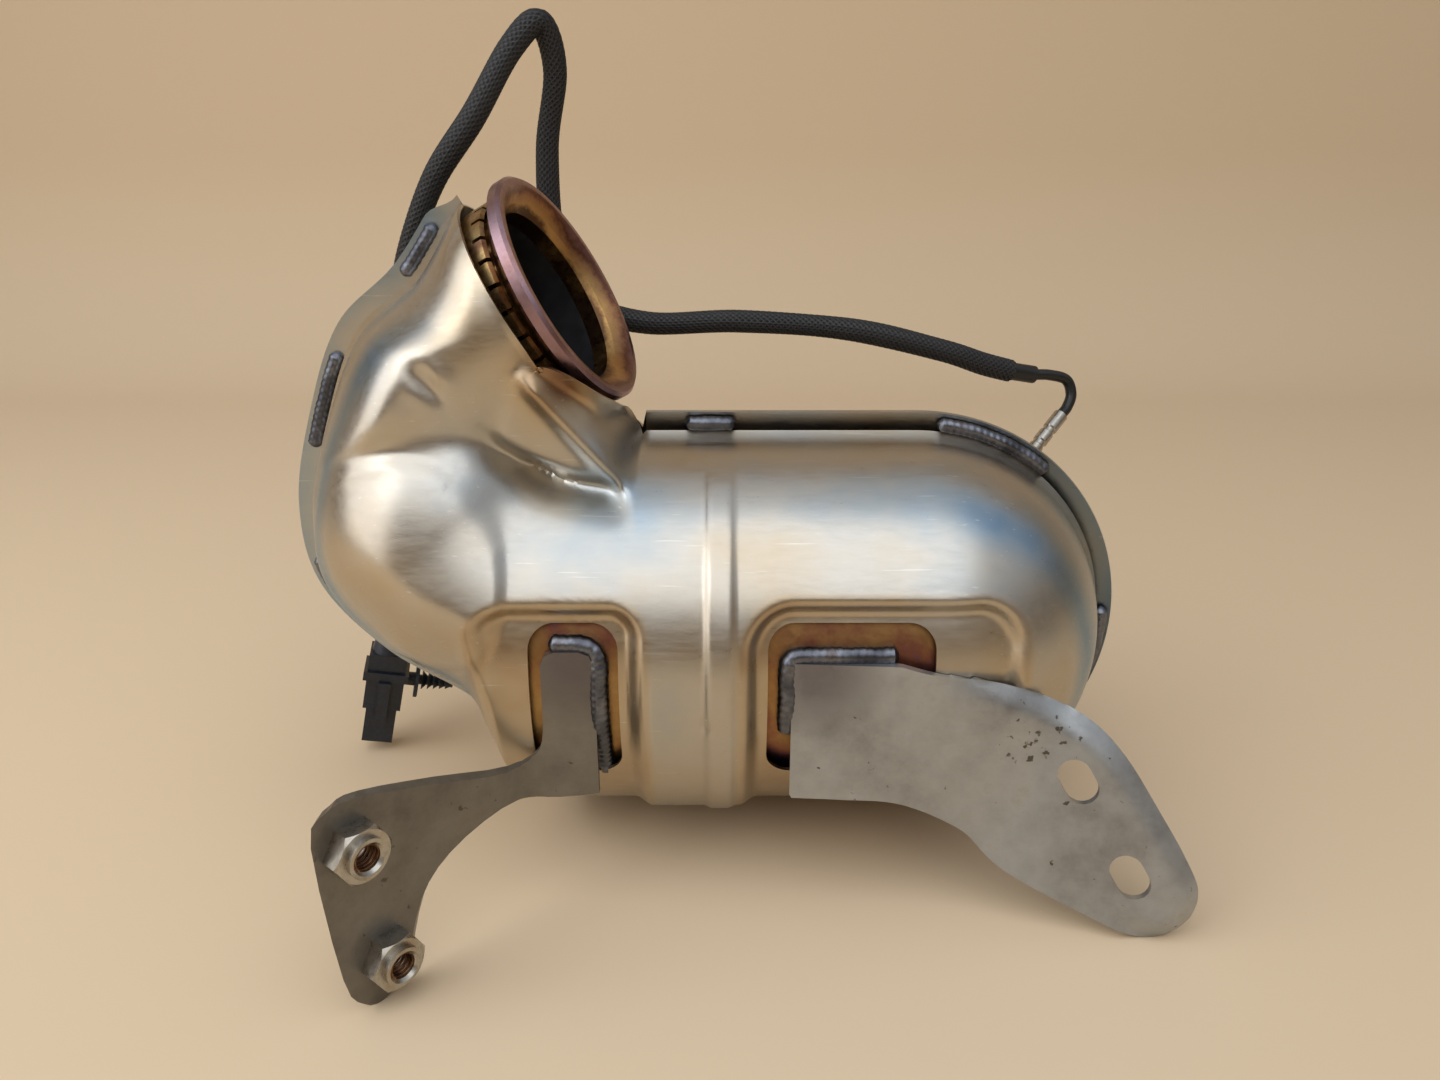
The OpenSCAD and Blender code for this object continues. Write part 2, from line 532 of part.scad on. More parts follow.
module right_bracket() {
    edge = concat([[24, 12]], curve_points(plate_outline, 3), [[24, -39]]);
    color("gray") difference() {
        union() {
            intersection() {
                plate_form(0);
                upright(edge);
            }
            intersection() {
                plate_form(7);
                difference() {
                    upright(edge);
                    translate([-bracket_t * 0.8, 0, -bracket_t * 0.8]) upright(edge);
                    translate([0, -200, -200]) cube([118, 400, 400]);
                    translate([0, -200, -200]) cube([400, 400, 140]);
                }
            }
        }
        for (side = [-1, 1]) translate([slot_mid[0], 0, slot_mid[1]]) rotate([0, -slot_a, 0])
            translate([side * slot_pitch / 2, 0, 0]) rotate([90, 0, 0]) linear_extrude(300, center = true) {
                square([slot_len - slot_w, slot_w], center = true);
                for (e = [-1, 1]) translate([e * (slot_len - slot_w) / 2, 0]) circle(slot_w / 2);
            }
    }
}

// Welds: beads along a line, next to the sheets they join
weld_r = 2.3;
function weld_line(list) =
    [for (p = curve_points(list, 3)) [p[0], -root(pow(can_r + weld_r + 0.1, 2) - p[1] * p[1]), p[1]]];
module left_bracket_weld() {
    z = 16 + weld_r + 0.2;
    x = -42 + weld_r + 0.2;
    line = [[-57, z], [-51, z], [-46.5, z], [-42, z - 1.9], [x, z - 7], [x, 2], [x, -10], [x, -24]];
    color("dimgray") tube(weld_line(line), weld_r, 1, 8);
}
module right_bracket_weld() {
    x = 24 - weld_r - 0.2;
    z = 12 + weld_r + 0.3;
    line = [[x, -16], [x, -4], [x, z - 5], [x + 1, z - 1], [x + 5, z], [36, z], [48, z], [60, z + 0.2]];
    color("dimgray") tube(weld_line(line), weld_r, 1, 8);
}
// Seam welds lie on the rear flange along the front flange's edge
seam_r = 2.4;
seam_out = front_flange + seam_r + 0.5;
seam_secs = sections(36, [-48, -34], 1, false);
function seam_point(k) = let (s = seam_secs[k], p = s[0] + seam_out * unit(s[0] - s[2])) [p[0], 0, p[1]];
function round_point(a) = [dome_x, 0, 0] + (shield_r + seam_out) * [cos(a), 0, sin(a)];
module seam_bead(line) {
    tube(line, seam_r, 1, 8, 180);
}
module seam_welds() {
    color("darkslategray") {
        seam_bead([for (k = [2:4]) seam_point(k)]);
        seam_bead([for (k = [10:13]) seam_point(k)]);
        seam_bead([for (k = [19:21]) seam_point(k)]);
        seam_bead([for (k = [25:27]) seam_point(k)]);
        seam_bead([for (x = [6, -3, -13]) [x, 0, shield_r + seam_out]]);
        seam_bead([for (a = [49:7:84]) round_point(a)]);
        seam_bead([for (a = [-24:9:3]) round_point(a)]);
    }
}

// Temperature sensor on the outlet hood
dome_c = [dome_x, 0, 0];
module on_sensor(r) {
    translate(dome_c + r * sensor_v) aim(sensor_v) children();
}
nut_r = can_r + 13;
module sensor_boss() {
    color("gray") difference() {
        on_sensor(can_r - 6) cylinder(r = 8, h = 19);
        translate(dome_c) sphere(can_r + 0.1);
        on_sensor(can_r - 8) cylinder(r = 2.6, h = 30);
    }
}
module sensor_nut() {
    color("slategray") on_sensor(nut_r) difference() {
        intersection() {
            cylinder(d = sensor_flats / cos(30), h = 10, $fn = 6);
            cylinder(r1 = sensor_flats / 2 + 6, r2 = sensor_flats / 2, h = 10);
        }
        translate([0, 0, -1]) cylinder(r = 2.6, h = 12);
    }
}
module sensor_probe() {
    color("silver") on_sensor(nut_r - 50) {
        cylinder(r = 2.3, h = 60);
        sphere(2.3);
    }
}
tube_0 = nut_r + 10;
tube_end = 118;
module sensor_tube() {
    r = sensor_tube_r;
    color("gainsboro") on_sensor(tube_0) rotate_extrude() polygon([
        [0, 0], [r + 1.6, 0], [r + 1.6, 4], [r, 5], [r, 12], [r - 0.5, 12.6], [r - 0.5, 14.4], [r, 15], [r, 20],
        [r - 0.5, 20.6], [r - 0.5, 22.4], [r, 23], [r, tube_end - tube_0], [0, tube_end - tube_0]]);
}

// Lead, sleeve and plug: round tubes along a route
lead_0 = dome_c + (tube_end + fit) * sensor_v;
lead_route = [lead_0, lead_0 + 5 * sensor_v, [151.5, 70, 73], [149, 71, 79], [141, 69, 81.5], [134, 67, 82]];
sleeve_route = [[122, 63, 84.5], [110, 60, 88], [91, 56, 94.5], [53, 52, 103.5], [8, 51, 107], [-30, 54, 106],
    [-54, 57, 114], [-66, 57, 138], [-67, 56, 172], [-62, 52, 200], [-66, 46, 216], [-76, 40, 207],
    [-90, 34, 184], [-106, 32, 162], [-119, 37, 136], [-129, 47, 108], [-137, 53, 80], [-140, 52, 50],
    [-138, 47, 20], [-139, 43, -6], [-143.5, 42, -26]];
module sensor_lead() {
    color("black") tube(lead_route, lead_d / 2, 3, 10);
}
shrink_a = lead_route[5];
shrink_b = sleeve_route[0];
module shrink_tube() {
    end = 0.6 * unit(shrink_b - shrink_a);
    color("black") rod(shrink_a + end, shrink_b - end, shrink_d / 2);
}
module braided_sleeve() {
    color("black") tube(sleeve_route, sleeve_d / 2, 3, 10);
}
// Plug at the sleeve's end, with its fir-tree clip
plug_0 = sleeve_route[20];
plug_v = unit(plug_0 - sleeve_route[19]);
module on_plug(s) {
    translate(plug_0 + (s + fit) * plug_v) aim(plug_v) children();
}
module connector_cap() {
    color("black") on_plug(0) cylinder(r1 = sleeve_d / 2 + 0.8, r2 = sleeve_d / 2 + 2.5, h = 9);
}
module connector() {
    color("midnightblue") on_plug(9) {
        translate([-8, -7, 0]) cube([16, 14, 26]);
        translate([-9.5, -8.5, 8]) cube([19, 17, 4]);
        translate([-6.5, -5.5, 26]) cube([13, 11, 17]);
        translate([-2.5, 7, 12]) cube([5, 3, 20]);
    }
}
module connector_clip() {
    color("midnightblue") on_plug(22) translate([9.5, 0, 0]) rotate([0, 90, 0]) {
        cylinder(r = 3, h = 3);
        translate([0, 0, 3]) cylinder(r = 8, h = 1.6);
        translate([0, 0, 4.6]) cylinder(r = 2.2, h = 15);
        for (k = [0:4]) translate([0, 0, 6 + 2.6 * k]) cylinder(r1 = 4.4 - 0.3 * k, r2 = 2.2, h = 2);
    }
}

placed() front_shield();
placed() rear_shield();
placed() canister();
placed() catalyst_brick();
placed() catalyst_mat();
placed() filter_brick();
placed() filter_mat();
placed() inlet_hood();
placed() inlet_pipe();
placed() inlet_flange();
placed() inlet_collar();
placed() outlet_hood();
placed() outlet_flange();
placed() left_bracket();
placed() weld_nuts();
placed() right_bracket();
placed() left_bracket_weld();
placed() right_bracket_weld();
placed() seam_welds();
placed() sensor_boss();
placed() sensor_nut();
placed() sensor_probe();
placed() sensor_tube();
placed() sensor_lead();
placed() shrink_tube();
placed() braided_sleeve();
placed() connector();
placed() connector_cap();
placed() connector_clip();
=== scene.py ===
# Diesel particulate filter in its pressed heat shield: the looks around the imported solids
import math

import bmesh
import bpy
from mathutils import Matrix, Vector, noise


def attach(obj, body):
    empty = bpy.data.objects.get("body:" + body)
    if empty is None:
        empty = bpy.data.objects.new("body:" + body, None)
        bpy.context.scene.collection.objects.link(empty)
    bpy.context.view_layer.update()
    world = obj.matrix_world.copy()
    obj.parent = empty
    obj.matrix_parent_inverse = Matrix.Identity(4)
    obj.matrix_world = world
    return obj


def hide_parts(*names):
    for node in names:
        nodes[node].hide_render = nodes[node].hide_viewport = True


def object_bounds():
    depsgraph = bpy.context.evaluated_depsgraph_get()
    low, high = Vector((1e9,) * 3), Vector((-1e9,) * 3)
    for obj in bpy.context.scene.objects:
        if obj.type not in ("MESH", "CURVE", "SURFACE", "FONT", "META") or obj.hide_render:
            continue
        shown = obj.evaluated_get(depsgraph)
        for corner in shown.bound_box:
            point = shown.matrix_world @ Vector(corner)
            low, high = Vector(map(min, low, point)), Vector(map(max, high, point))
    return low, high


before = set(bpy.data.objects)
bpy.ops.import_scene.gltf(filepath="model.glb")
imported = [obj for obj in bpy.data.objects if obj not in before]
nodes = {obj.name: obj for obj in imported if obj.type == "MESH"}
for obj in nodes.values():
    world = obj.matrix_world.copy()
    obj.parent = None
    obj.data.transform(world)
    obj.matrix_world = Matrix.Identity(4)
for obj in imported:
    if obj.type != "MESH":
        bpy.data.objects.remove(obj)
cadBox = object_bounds()
mm = 0.001

# The can's middle is where the sizes below are measured from, in millimetres
inlet = {"x": -52, "z": 127, "angle": math.radians(29), "tilt": math.radians(8), "lipDepth": 7}
inletAlong = Vector((math.cos(inlet["angle"]), math.sin(inlet["angle"])))
inletAcross = Vector((-inletAlong.y, inletAlong.x))
inletOut = Vector((inletAlong.x * math.cos(inlet["tilt"]), -math.sin(inlet["tilt"]),
                   inletAlong.y * math.cos(inlet["tilt"])))
frameStart = Vector((inlet["x"], 0, inlet["z"])) - inlet["lipDepth"] * inletOut
floorZ = cadBox[0][2]


def canPoint(x, y, z):
    return (Vector((x, y, z)) - frameStart) * mm


def mix(a, b, t):
    return a + (b - a) * t


def ease(t):
    t = min(1, max(0, t))
    return t * t * (3 - 2 * t)


def root(t):
    return math.sqrt(max(0, t))


def softMax(a, b, blend):
    return max(a, b) + max(blend - abs(a - b), 0) ** 2 / (4 * blend)


def softMin(a, b, blend):
    return -softMax(-a, -b, blend)


def smoothPath(points, step):
    # A Catmull-Rom curve through the points, cut into near-equal steps
    points = [Vector(p) for p in points]
    ends = [2 * points[0] - points[1]] + points + [2 * points[-1] - points[-2]]
    fine = []
    for a, b, c, d in zip(ends, ends[1:], ends[2:], ends[3:]):
        for k in range(40):
            t = k / 40
            fine.append(0.5 * (2 * b + (c - a) * t + (2 * a - 5 * b + 4 * c - d) * t * t
                               + (3 * b - a - 3 * c + d) * t ** 3))
    fine.append(points[-1])
    length = sum((b - a).length for a, b in zip(fine, fine[1:]))
    count = max(2, round(length / step))
    path, walked, k = [fine[0]], 0, 0
    for n in range(1, count):
        target = length * n / count
        while walked + (fine[k + 1] - fine[k]).length < target:
            walked += (fine[k + 1] - fine[k]).length
            k += 1
        span = (fine[k + 1] - fine[k]).length
        path.append(fine[k].lerp(fine[k + 1], (target - walked) / span))
    path.append(fine[-1])
    return path


def pathLength(path):
    return sum((b - a).length for a, b in zip(path, path[1:]))


def finishPiece(name, bm, material, replaced=(), sharpAngle=40):
    mesh = bpy.data.meshes.new(name)
    for face in bm.faces:
        face.smooth = True
    bm.to_mesh(mesh)
    bm.free()
    mesh.set_sharp_from_angle(angle=math.radians(sharpAngle))
    piece = bpy.data.objects.new(name, mesh)
    bpy.context.scene.collection.objects.link(piece)
    mesh.materials.append(material)
    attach(piece, "root")
    if replaced:
        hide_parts(*replaced)
    return piece


def tubeAlong(path, radius, around, shade=None):
    # A grid rolled round the path; radius(s, turn) is in the path's own unit, s is the walked length
    bm = bmesh.new()
    rows = len(path) - 1
    bmesh.ops.create_grid(bm, x_segments=rows, y_segments=around, size=0.5)
    tangents = [(path[min(k + 1, rows)] - path[max(k - 1, 0)]).normalized() for k in range(rows + 1)]
    side = tangents[0].orthogonal().normalized()
    sides = []
    for t in tangents:
        side = (side - t * side.dot(t)).normalized()
        sides.append(side)
    walked = [0]
    for a, b in zip(path, path[1:]):
        walked.append(walked[-1] + (b - a).length)
    uvLayer = bm.loops.layers.uv.new("UVMap")
    shadeLayer = bm.verts.layers.float.new("shade")
    for vert in bm.verts:
        vert.index = round((vert.co.x + 0.5) * rows) * (around + 1) + round((vert.co.y + 0.5) * around)
    for face in bm.faces:
        for loop in face.loops:
            k, turn = divmod(loop.vert.index, around + 1)
            loop[uvLayer].uv = (turn / around, walked[k] / walked[-1])
    for vert in bm.verts:
        k, turn = divmod(vert.index, around + 1)
        angle = math.tau * (turn % around) / around
        out = sides[k] * math.cos(angle) + tangents[k].cross(sides[k]) * math.sin(angle)
        vert.co = path[k] + out * radius(walked[k], angle)
        vert[shadeLayer] = shade(walked[k], angle) if shade else 0.5
    bmesh.ops.remove_doubles(bm, verts=bm.verts, dist=1e-7)
    bmesh.ops.holes_fill(bm, edges=[e for e in bm.edges if e.is_boundary], sides=0)
    bmesh.ops.recalc_face_normals(bm, faces=bm.faces)
    return bm


# Materials

def hexColour(code):
    channels = [int(code[k:k + 2], 16) / 255 for k in (1, 3, 5)]
    return tuple(c / 12.92 if c <= 0.04045 else ((c + 0.055) / 1.055) ** 2.4 for c in channels) + (1,)


def addNode(tree, kind, inputs=None, stops=None, **settings):
    node = tree.nodes.new("ShaderNode" + kind)
    for name, value in settings.items():
        setattr(node, name, value)
    for name, value in (inputs or {}).items():
        if isinstance(value, bpy.types.NodeSocket):
            tree.links.new(value, node.inputs[name])
        else:
            node.inputs[name].default_value = value
    if stops:
        ramp = node.color_ramp.elements
        while len(ramp) < len(stops):
            ramp.new(1)
        for element, (place, colour) in zip(ramp, stops):
            element.position = place
            element.color = hexColour(colour)
    return node


def startMaterial(name, **sockets):
    material = bpy.data.materials.new(name)
    material.use_nodes = True
    tree = material.node_tree
    shader = tree.nodes["Principled BSDF"]
    for socket, value in sockets.items():
        shader.inputs[socket.replace("_", " ")].default_value = value
    place = addNode(tree, "TexCoord").outputs["Object"]
    return material, tree, shader, place


def wireSurface(tree, shader, colour, rough, height, strength, distance):
    bump = addNode(tree, "Bump", {"Height": height, "Strength": strength, "Distance": distance * mm})
    for socket, output in (("Base Color", colour), ("Roughness", rough), ("Normal", bump.outputs["Normal"])):
        tree.links.new(output, shader.inputs[socket])


def perMm(size):
    return 1 / (size * mm)  # a texture scale that repeats about once in this many millimetres


# Pressed stainless sheet: satin, with heat tint and fine handling scratches
def pressedStainless():
    material, tree, shader, place = startMaterial("pressedStainless", Metallic=1.0)
    tint = addNode(tree, "Attribute", attribute_name="heatTint").outputs["Fac"]
    cloud = addNode(tree, "TexNoise", {"Vector": place, "Scale": perMm(70), "Detail": 4, "Roughness": 0.55})
    sway = addNode(tree, "MapRange", {"Value": cloud.outputs["Fac"], "From Min": 0.3, "From Max": 0.7,
                                      "To Min": -0.22, "To Max": 0.22})
    level = addNode(tree, "Math", {0: tint, 1: sway.outputs["Result"]}, operation="ADD")
    colour = addNode(tree, "ValToRGB", {"Fac": level.outputs["Value"]}, stops=[
        (0.0, "#7C97B0"), (0.14, "#98A8B5"), (0.27, "#A9AFB1"), (0.45, "#BDB8AF"), (0.7, "#BDAE97"), (0.9, "#A98F70"),
        (1.0, "#8A6B52")])
    stretch = addNode(tree, "Mapping", {"Vector": place, "Scale": (1, 5, 5), "Rotation": (0.4, 0.5, 0.3)})
    scratch = addNode(tree, "TexNoise", {"Vector": stretch.outputs["Vector"], "Scale": perMm(9), "Detail": 8,
                                         "Roughness": 0.75})
    rough = addNode(tree, "MapRange", {"Value": scratch.outputs["Fac"], "From Min": 0.3, "From Max": 0.7,
                                       "To Min": 0.26, "To Max": 0.4})
    drawn = addNode(tree, "Mapping", {"Vector": place, "Scale": (1, 26, 26), "Rotation": (0.3, 0.6, 0.5)})
    line = addNode(tree, "TexNoise", {"Vector": drawn.outputs["Vector"], "Scale": perMm(26), "Detail": 3})
    scuff = addNode(tree, "MapRange", {"Value": line.outputs["Fac"], "From Min": 0.68, "From Max": 0.74, "To Max": 0.5})
    base = addNode(tree, "Mix", {0: scuff.outputs["Result"], 6: colour.outputs["Color"], 7: hexColour("#DAD8D3")},
                   data_type="RGBA")
    wireSurface(tree, shader, base.outputs[2], rough.outputs["Result"], scratch.outputs["Fac"], 0.05, 0.6)
    return material


# Stainless that has been glowing: straw, bronze, purple and blue oxide in soft clouds
def temperedSteel(name, stops, cloudMm, roughness, gritMm=1.5, bumpStrength=0.12):
    material, tree, shader, place = startMaterial(name, Metallic=1.0)
    cloud = addNode(tree, "TexNoise", {"Vector": place, "Scale": perMm(cloudMm), "Detail": 5, "Roughness": 0.6})
    spread = addNode(tree, "MapRange", {"Value": cloud.outputs["Fac"], "From Min": 0.28, "From Max": 0.72})
    colour = addNode(tree, "ValToRGB", {"Fac": spread.outputs["Result"]}, stops=stops)
    grit = addNode(tree, "TexNoise", {"Vector": place, "Scale": perMm(gritMm), "Detail": 6, "Roughness": 0.7})
    rough = addNode(tree, "MapRange", {"Value": grit.outputs["Fac"], "From Min": 0.3, "From Max": 0.7,
                                       "To Min": roughness - 0.08, "To Max": roughness + 0.1})
    wireSurface(tree, shader, colour.outputs["Color"], rough.outputs["Result"], grit.outputs["Fac"], bumpStrength, 0.4)
    return material


# Hot-rolled bracket plate: satin grey with scuffs, heat tint at the welds and patches of dark specks
bracketMarks = {"welds": [(-47, -65, 12), (33, -67, 8)], "weldReach": (5, 27), "scale": (106, -76, -15),
                "scaleReach": (4, 15)}


def nearness(tree, place, spot, reach):
    gap = addNode(tree, "VectorMath", {0: place, 1: tuple(canPoint(*spot))}, operation="DISTANCE").outputs["Value"]
    return addNode(tree, "MapRange", {"Value": gap, "From Min": reach[0] * mm, "From Max": reach[1] * mm, "To Min": 1,
                                      "To Max": 0}).outputs["Result"]


def bracketPlate(name, stops):
    material, tree, shader, place = startMaterial(name, Metallic=0.8)
    cloud = addNode(tree, "TexNoise", {"Vector": place, "Scale": perMm(30), "Detail": 6, "Roughness": 0.65})
    colour = addNode(tree, "ValToRGB", {"Fac": cloud.outputs["Fac"]}, stops=stops)
    heat = [nearness(tree, place, spot, bracketMarks["weldReach"]) for spot in bracketMarks["welds"]]
    hottest = addNode(tree, "Math", {0: heat[0], 1: heat[1]}, operation="MAXIMUM").outputs["Value"]
    blurred = addNode(tree, "Math", {0: hottest, 1: cloud.outputs["Fac"], 2: -0.25}, operation="MULTIPLY_ADD")
    heatLevel = addNode(tree, "MapRange", {"Value": blurred.outputs["Value"], "From Min": -0.2, "From Max": 0.25,
                                           "To Max": 0.75})
    heated = addNode(tree, "Mix", {0: heatLevel.outputs["Result"], 6: colour.outputs["Color"], 7: hexColour("#625A5E")},
                     data_type="RGBA")
    speck = addNode(tree, "TexNoise", {"Vector": place, "Scale": perMm(3.6), "Detail": 3})
    patch = addNode(tree, "TexNoise", {"Vector": place, "Scale": perMm(40), "Detail": 2})
    few = addNode(tree, "MapRange", {"Value": patch.outputs["Fac"], "From Min": 0.45, "From Max": 0.65, "To Min": 0,
                                     "To Max": 0.06}).outputs["Result"]
    many = addNode(tree, "Math", {0: nearness(tree, place, bracketMarks["scale"], bracketMarks["scaleReach"]), 1: 0.15},
                   operation="MULTIPLY").outputs["Value"]
    where = addNode(tree, "Math", {0: few, 1: many}, operation="ADD").outputs["Value"]
    dots = addNode(tree, "Math", {0: speck.outputs["Fac"], 1: where}, operation="ADD").outputs["Value"]
    dirt = addNode(tree, "MapRange", {"Value": dots, "From Min": 0.72, "From Max": 0.76})
    base = addNode(tree, "Mix", {0: dirt.outputs["Result"], 6: heated.outputs[2], 7: hexColour("#5E5850")},
                   data_type="RGBA")
    stretch = addNode(tree, "Mapping", {"Vector": place, "Scale": (1, 6, 6), "Rotation": (0.2, 0.7, 0.9)})
    scratch = addNode(tree, "TexNoise", {"Vector": stretch.outputs["Vector"], "Scale": perMm(7), "Detail": 8,
                                         "Roughness": 0.75})
    rough = addNode(tree, "MapRange", {"Value": scratch.outputs["Fac"], "From Min": 0.3, "From Max": 0.7,
                                       "To Min": 0.3, "To Max": 0.48})
    wireSurface(tree, shader, base.outputs[2], rough.outputs["Result"], scratch.outputs["Fac"], 0.1, 0.6)
    return material


# Soot, rubber, moulded plastic, ceramic brick and fibre mat share one build: colour, a fine grain and a set gloss
def darkPolymer(name, dark, light, grainMm, roughness, bumpStrength):
    material, tree, shader, place = startMaterial(name, IOR=1.5)
    grain = addNode(tree, "TexNoise", {"Vector": place, "Scale": perMm(grainMm), "Detail": 4, "Roughness": 0.6})
    colour = addNode(tree, "ValToRGB", {"Fac": grain.outputs["Fac"]}, stops=[(0.35, dark), (0.7, light)])
    rough = addNode(tree, "MapRange", {"Value": grain.outputs["Fac"], "From Min": 0.3, "From Max": 0.7,
                                       "To Min": roughness - 0.06, "To Max": roughness + 0.06})
    wireSurface(tree, shader, colour.outputs["Color"], rough.outputs["Result"], grain.outputs["Fac"], bumpStrength, 0.3)
    return material


# Black polyester braid: matt and painted dark between the strands as painted shade, a soft sheen on their crowns that
# comes partly from lower roughness and partly from colour painted lighter as a painted sheen
def braidedPolyester():
    material, tree, shader, place = startMaterial("braidedPolyester", IOR=1.55)
    height = addNode(tree, "Attribute", attribute_name="shade").outputs["Fac"]
    # The strand height paints shade into the gaps and a painted sheen onto the crowns
    colour = addNode(tree, "ValToRGB", {"Fac": height}, stops=[(0.3, "#040405"), (0.65, "#19191C"), (0.95, "#4A4B50")])
    rough = addNode(tree, "MapRange", {"Value": height, "From Min": 0.3, "From Max": 1, "To Min": 0.75, "To Max": 0.38})
    tree.links.new(colour.outputs["Color"], shader.inputs["Base Color"])
    tree.links.new(rough.outputs["Result"], shader.inputs["Roughness"])
    return material


# V-band flange: gold on the inner lip, brown and mauve oxide towards the rim
def clampFlangeSteel():
    material, tree, shader, place = startMaterial("glowTintedFlange", Metallic=1.0)
    along = addNode(tree, "VectorMath", {0: place, 1: tuple(inletOut)}, operation="DOT_PRODUCT").outputs["Value"]
    foot = addNode(tree, "VectorMath", {0: tuple(inletOut), "Scale": along}, operation="SCALE").outputs["Vector"]
    off = addNode(tree, "VectorMath", {0: place, 1: foot}, operation="SUBTRACT").outputs["Vector"]
    radius = addNode(tree, "VectorMath", {0: off}, operation="LENGTH").outputs["Value"]
    share = addNode(tree, "MapRange", {"Value": radius, "From Min": 32 * mm, "From Max": 42.5 * mm}).outputs["Result"]
    cloud = addNode(tree, "TexNoise", {"Vector": place, "Scale": perMm(22), "Detail": 5, "Roughness": 0.65})
    sway = addNode(tree, "MapRange", {"Value": cloud.outputs["Fac"], "From Min": 0.3, "From Max": 0.7,
                                      "To Min": -0.22, "To Max": 0.22}).outputs["Result"]
    level = addNode(tree, "Math", {0: share, 1: sway}, operation="ADD").outputs["Value"]
    colour = addNode(tree, "ValToRGB", {"Fac": level}, stops=[
        (0.0, "#5B4330"), (0.18, "#B08A58"), (0.4, "#9C7350"), (0.55, "#6A4638"), (0.75, "#8C6A66"), (1.0, "#9A7F86")])
    grit = addNode(tree, "TexNoise", {"Vector": place, "Scale": perMm(2), "Detail": 6, "Roughness": 0.7})
    rough = addNode(tree, "MapRange", {"Value": grit.outputs["Fac"], "From Min": 0.3, "From Max": 0.7,
                                       "To Min": 0.24, "To Max": 0.42})
    wireSurface(tree, shader, colour.outputs["Color"], rough.outputs["Result"], grit.outputs["Fac"], 0.1, 0.4)
    return material


stainless = pressedStainless()
canSteel = temperedSteel("glowTintedCan", [(0.05, "#6E5470"), (0.25, "#8A5A48"), (0.45, "#A07A50"), (0.7, "#B0905E"),
                                           (0.95, "#866874")], 40, 0.38)
flangeSteel = clampFlangeSteel()
collarSteel = temperedSteel("strawTintedCollar", [(0.1, "#6B4A33"), (0.4, "#9A7A4F"), (0.65, "#B59A6C"),
                                                  (0.95, "#7C5A45")], 14, 0.33)
weldSteel = temperedSteel("weldBead", [(0.1, "#4A4C54"), (0.4, "#5C5E66"), (0.65, "#767982"), (0.9, "#5F5450")],
                          14, 0.34, 6, 0.03)
sensorSteel = temperedSteel("machinedSteel", [(0.1, "#8F8A82"), (0.5, "#B4B0A8"), (0.9, "#A79C8B")], 9, 0.3, 3, 0.03)
threadSteel = temperedSteel("brownedThread", [(0.1, "#3A2A20"), (0.5, "#6A4A35"), (0.9, "#8A6A50")], 4, 0.35, 3, 0.03)
# The left bracket takes the same bracket steel in darker stops: painted shade
leftPlate = bracketPlate("shadedBracketPlate", [(0.3, "#64605A"), (0.45, "#77736C"), (0.6, "#827E77"), (0.8, "#7F705C")])
plate = bracketPlate("bracketPlate", [(0.3, "#8B8B8B"), (0.45, "#9FA1A2"), (0.6, "#ACAFB1"), (0.8, "#9B9184")])
braidPet = braidedPolyester()
soot = darkPolymer("sootedBore", "#0C0C0F", "#1B1B20", 6, 0.6, 0.2)
leadRubber = darkPolymer("leadRubber", "#0A0A0B", "#161617", 3, 0.42, 0.1)
plugPlastic = darkPolymer("mouldedPlug", "#151B25", "#212A36", 2, 0.38, 0.06)
brickCeramic = darkPolymer("cordieriteBrick", "#5A534A", "#7A7266", 2, 0.85, 0.3)
fibreMat = darkPolymer("ceramicFibreMat", "#C9C4B8", "#DEDACF", 1.5, 0.9, 0.4)
print("materials ready")

nodeMaterials = {
    "canister": canSteel, "outlet_hood": canSteel, "inlet_hood": soot, "inlet_pipe": soot,
    "inlet_flange": flangeSteel, "outlet_flange": collarSteel, "inlet_collar": collarSteel,
    "left_bracket": leftPlate, "weld_nuts": sensorSteel,
    "catalyst_brick": brickCeramic, "filter_brick": brickCeramic, "catalyst_mat": fibreMat, "filter_mat": fibreMat,
    "sensor_boss": sensorSteel, "sensor_nut": sensorSteel, "sensor_probe": sensorSteel, "sensor_tube": sensorSteel,
    "shrink_tube": leadRubber, "connector": plugPlastic, "connector_cap": plugPlastic, "connector_clip": plugPlastic,
}
for name, material in nodeMaterials.items():
    nodes[name].data.materials.clear()
    nodes[name].data.materials.append(material)

# Camera at the photograph's angle, in the can's millimetres
view = {"place": (0, -390, 173.4), "pitch": 20, "lens": 27.03, "sensor": 36}
camera = bpy.data.objects.new("camera", bpy.data.cameras.new("camera"))
bpy.context.scene.collection.objects.link(camera)
camera.location = canPoint(*view["place"])
camera.rotation_euler = (math.radians(90 - view["pitch"]), 0, 0)
camera.data.lens = view["lens"]
camera.data.sensor_width = view["sensor"]
camera.data.clip_start = 0.01
bpy.context.scene.camera = camera
bpy.context.scene.view_settings.view_transform = "Standard"

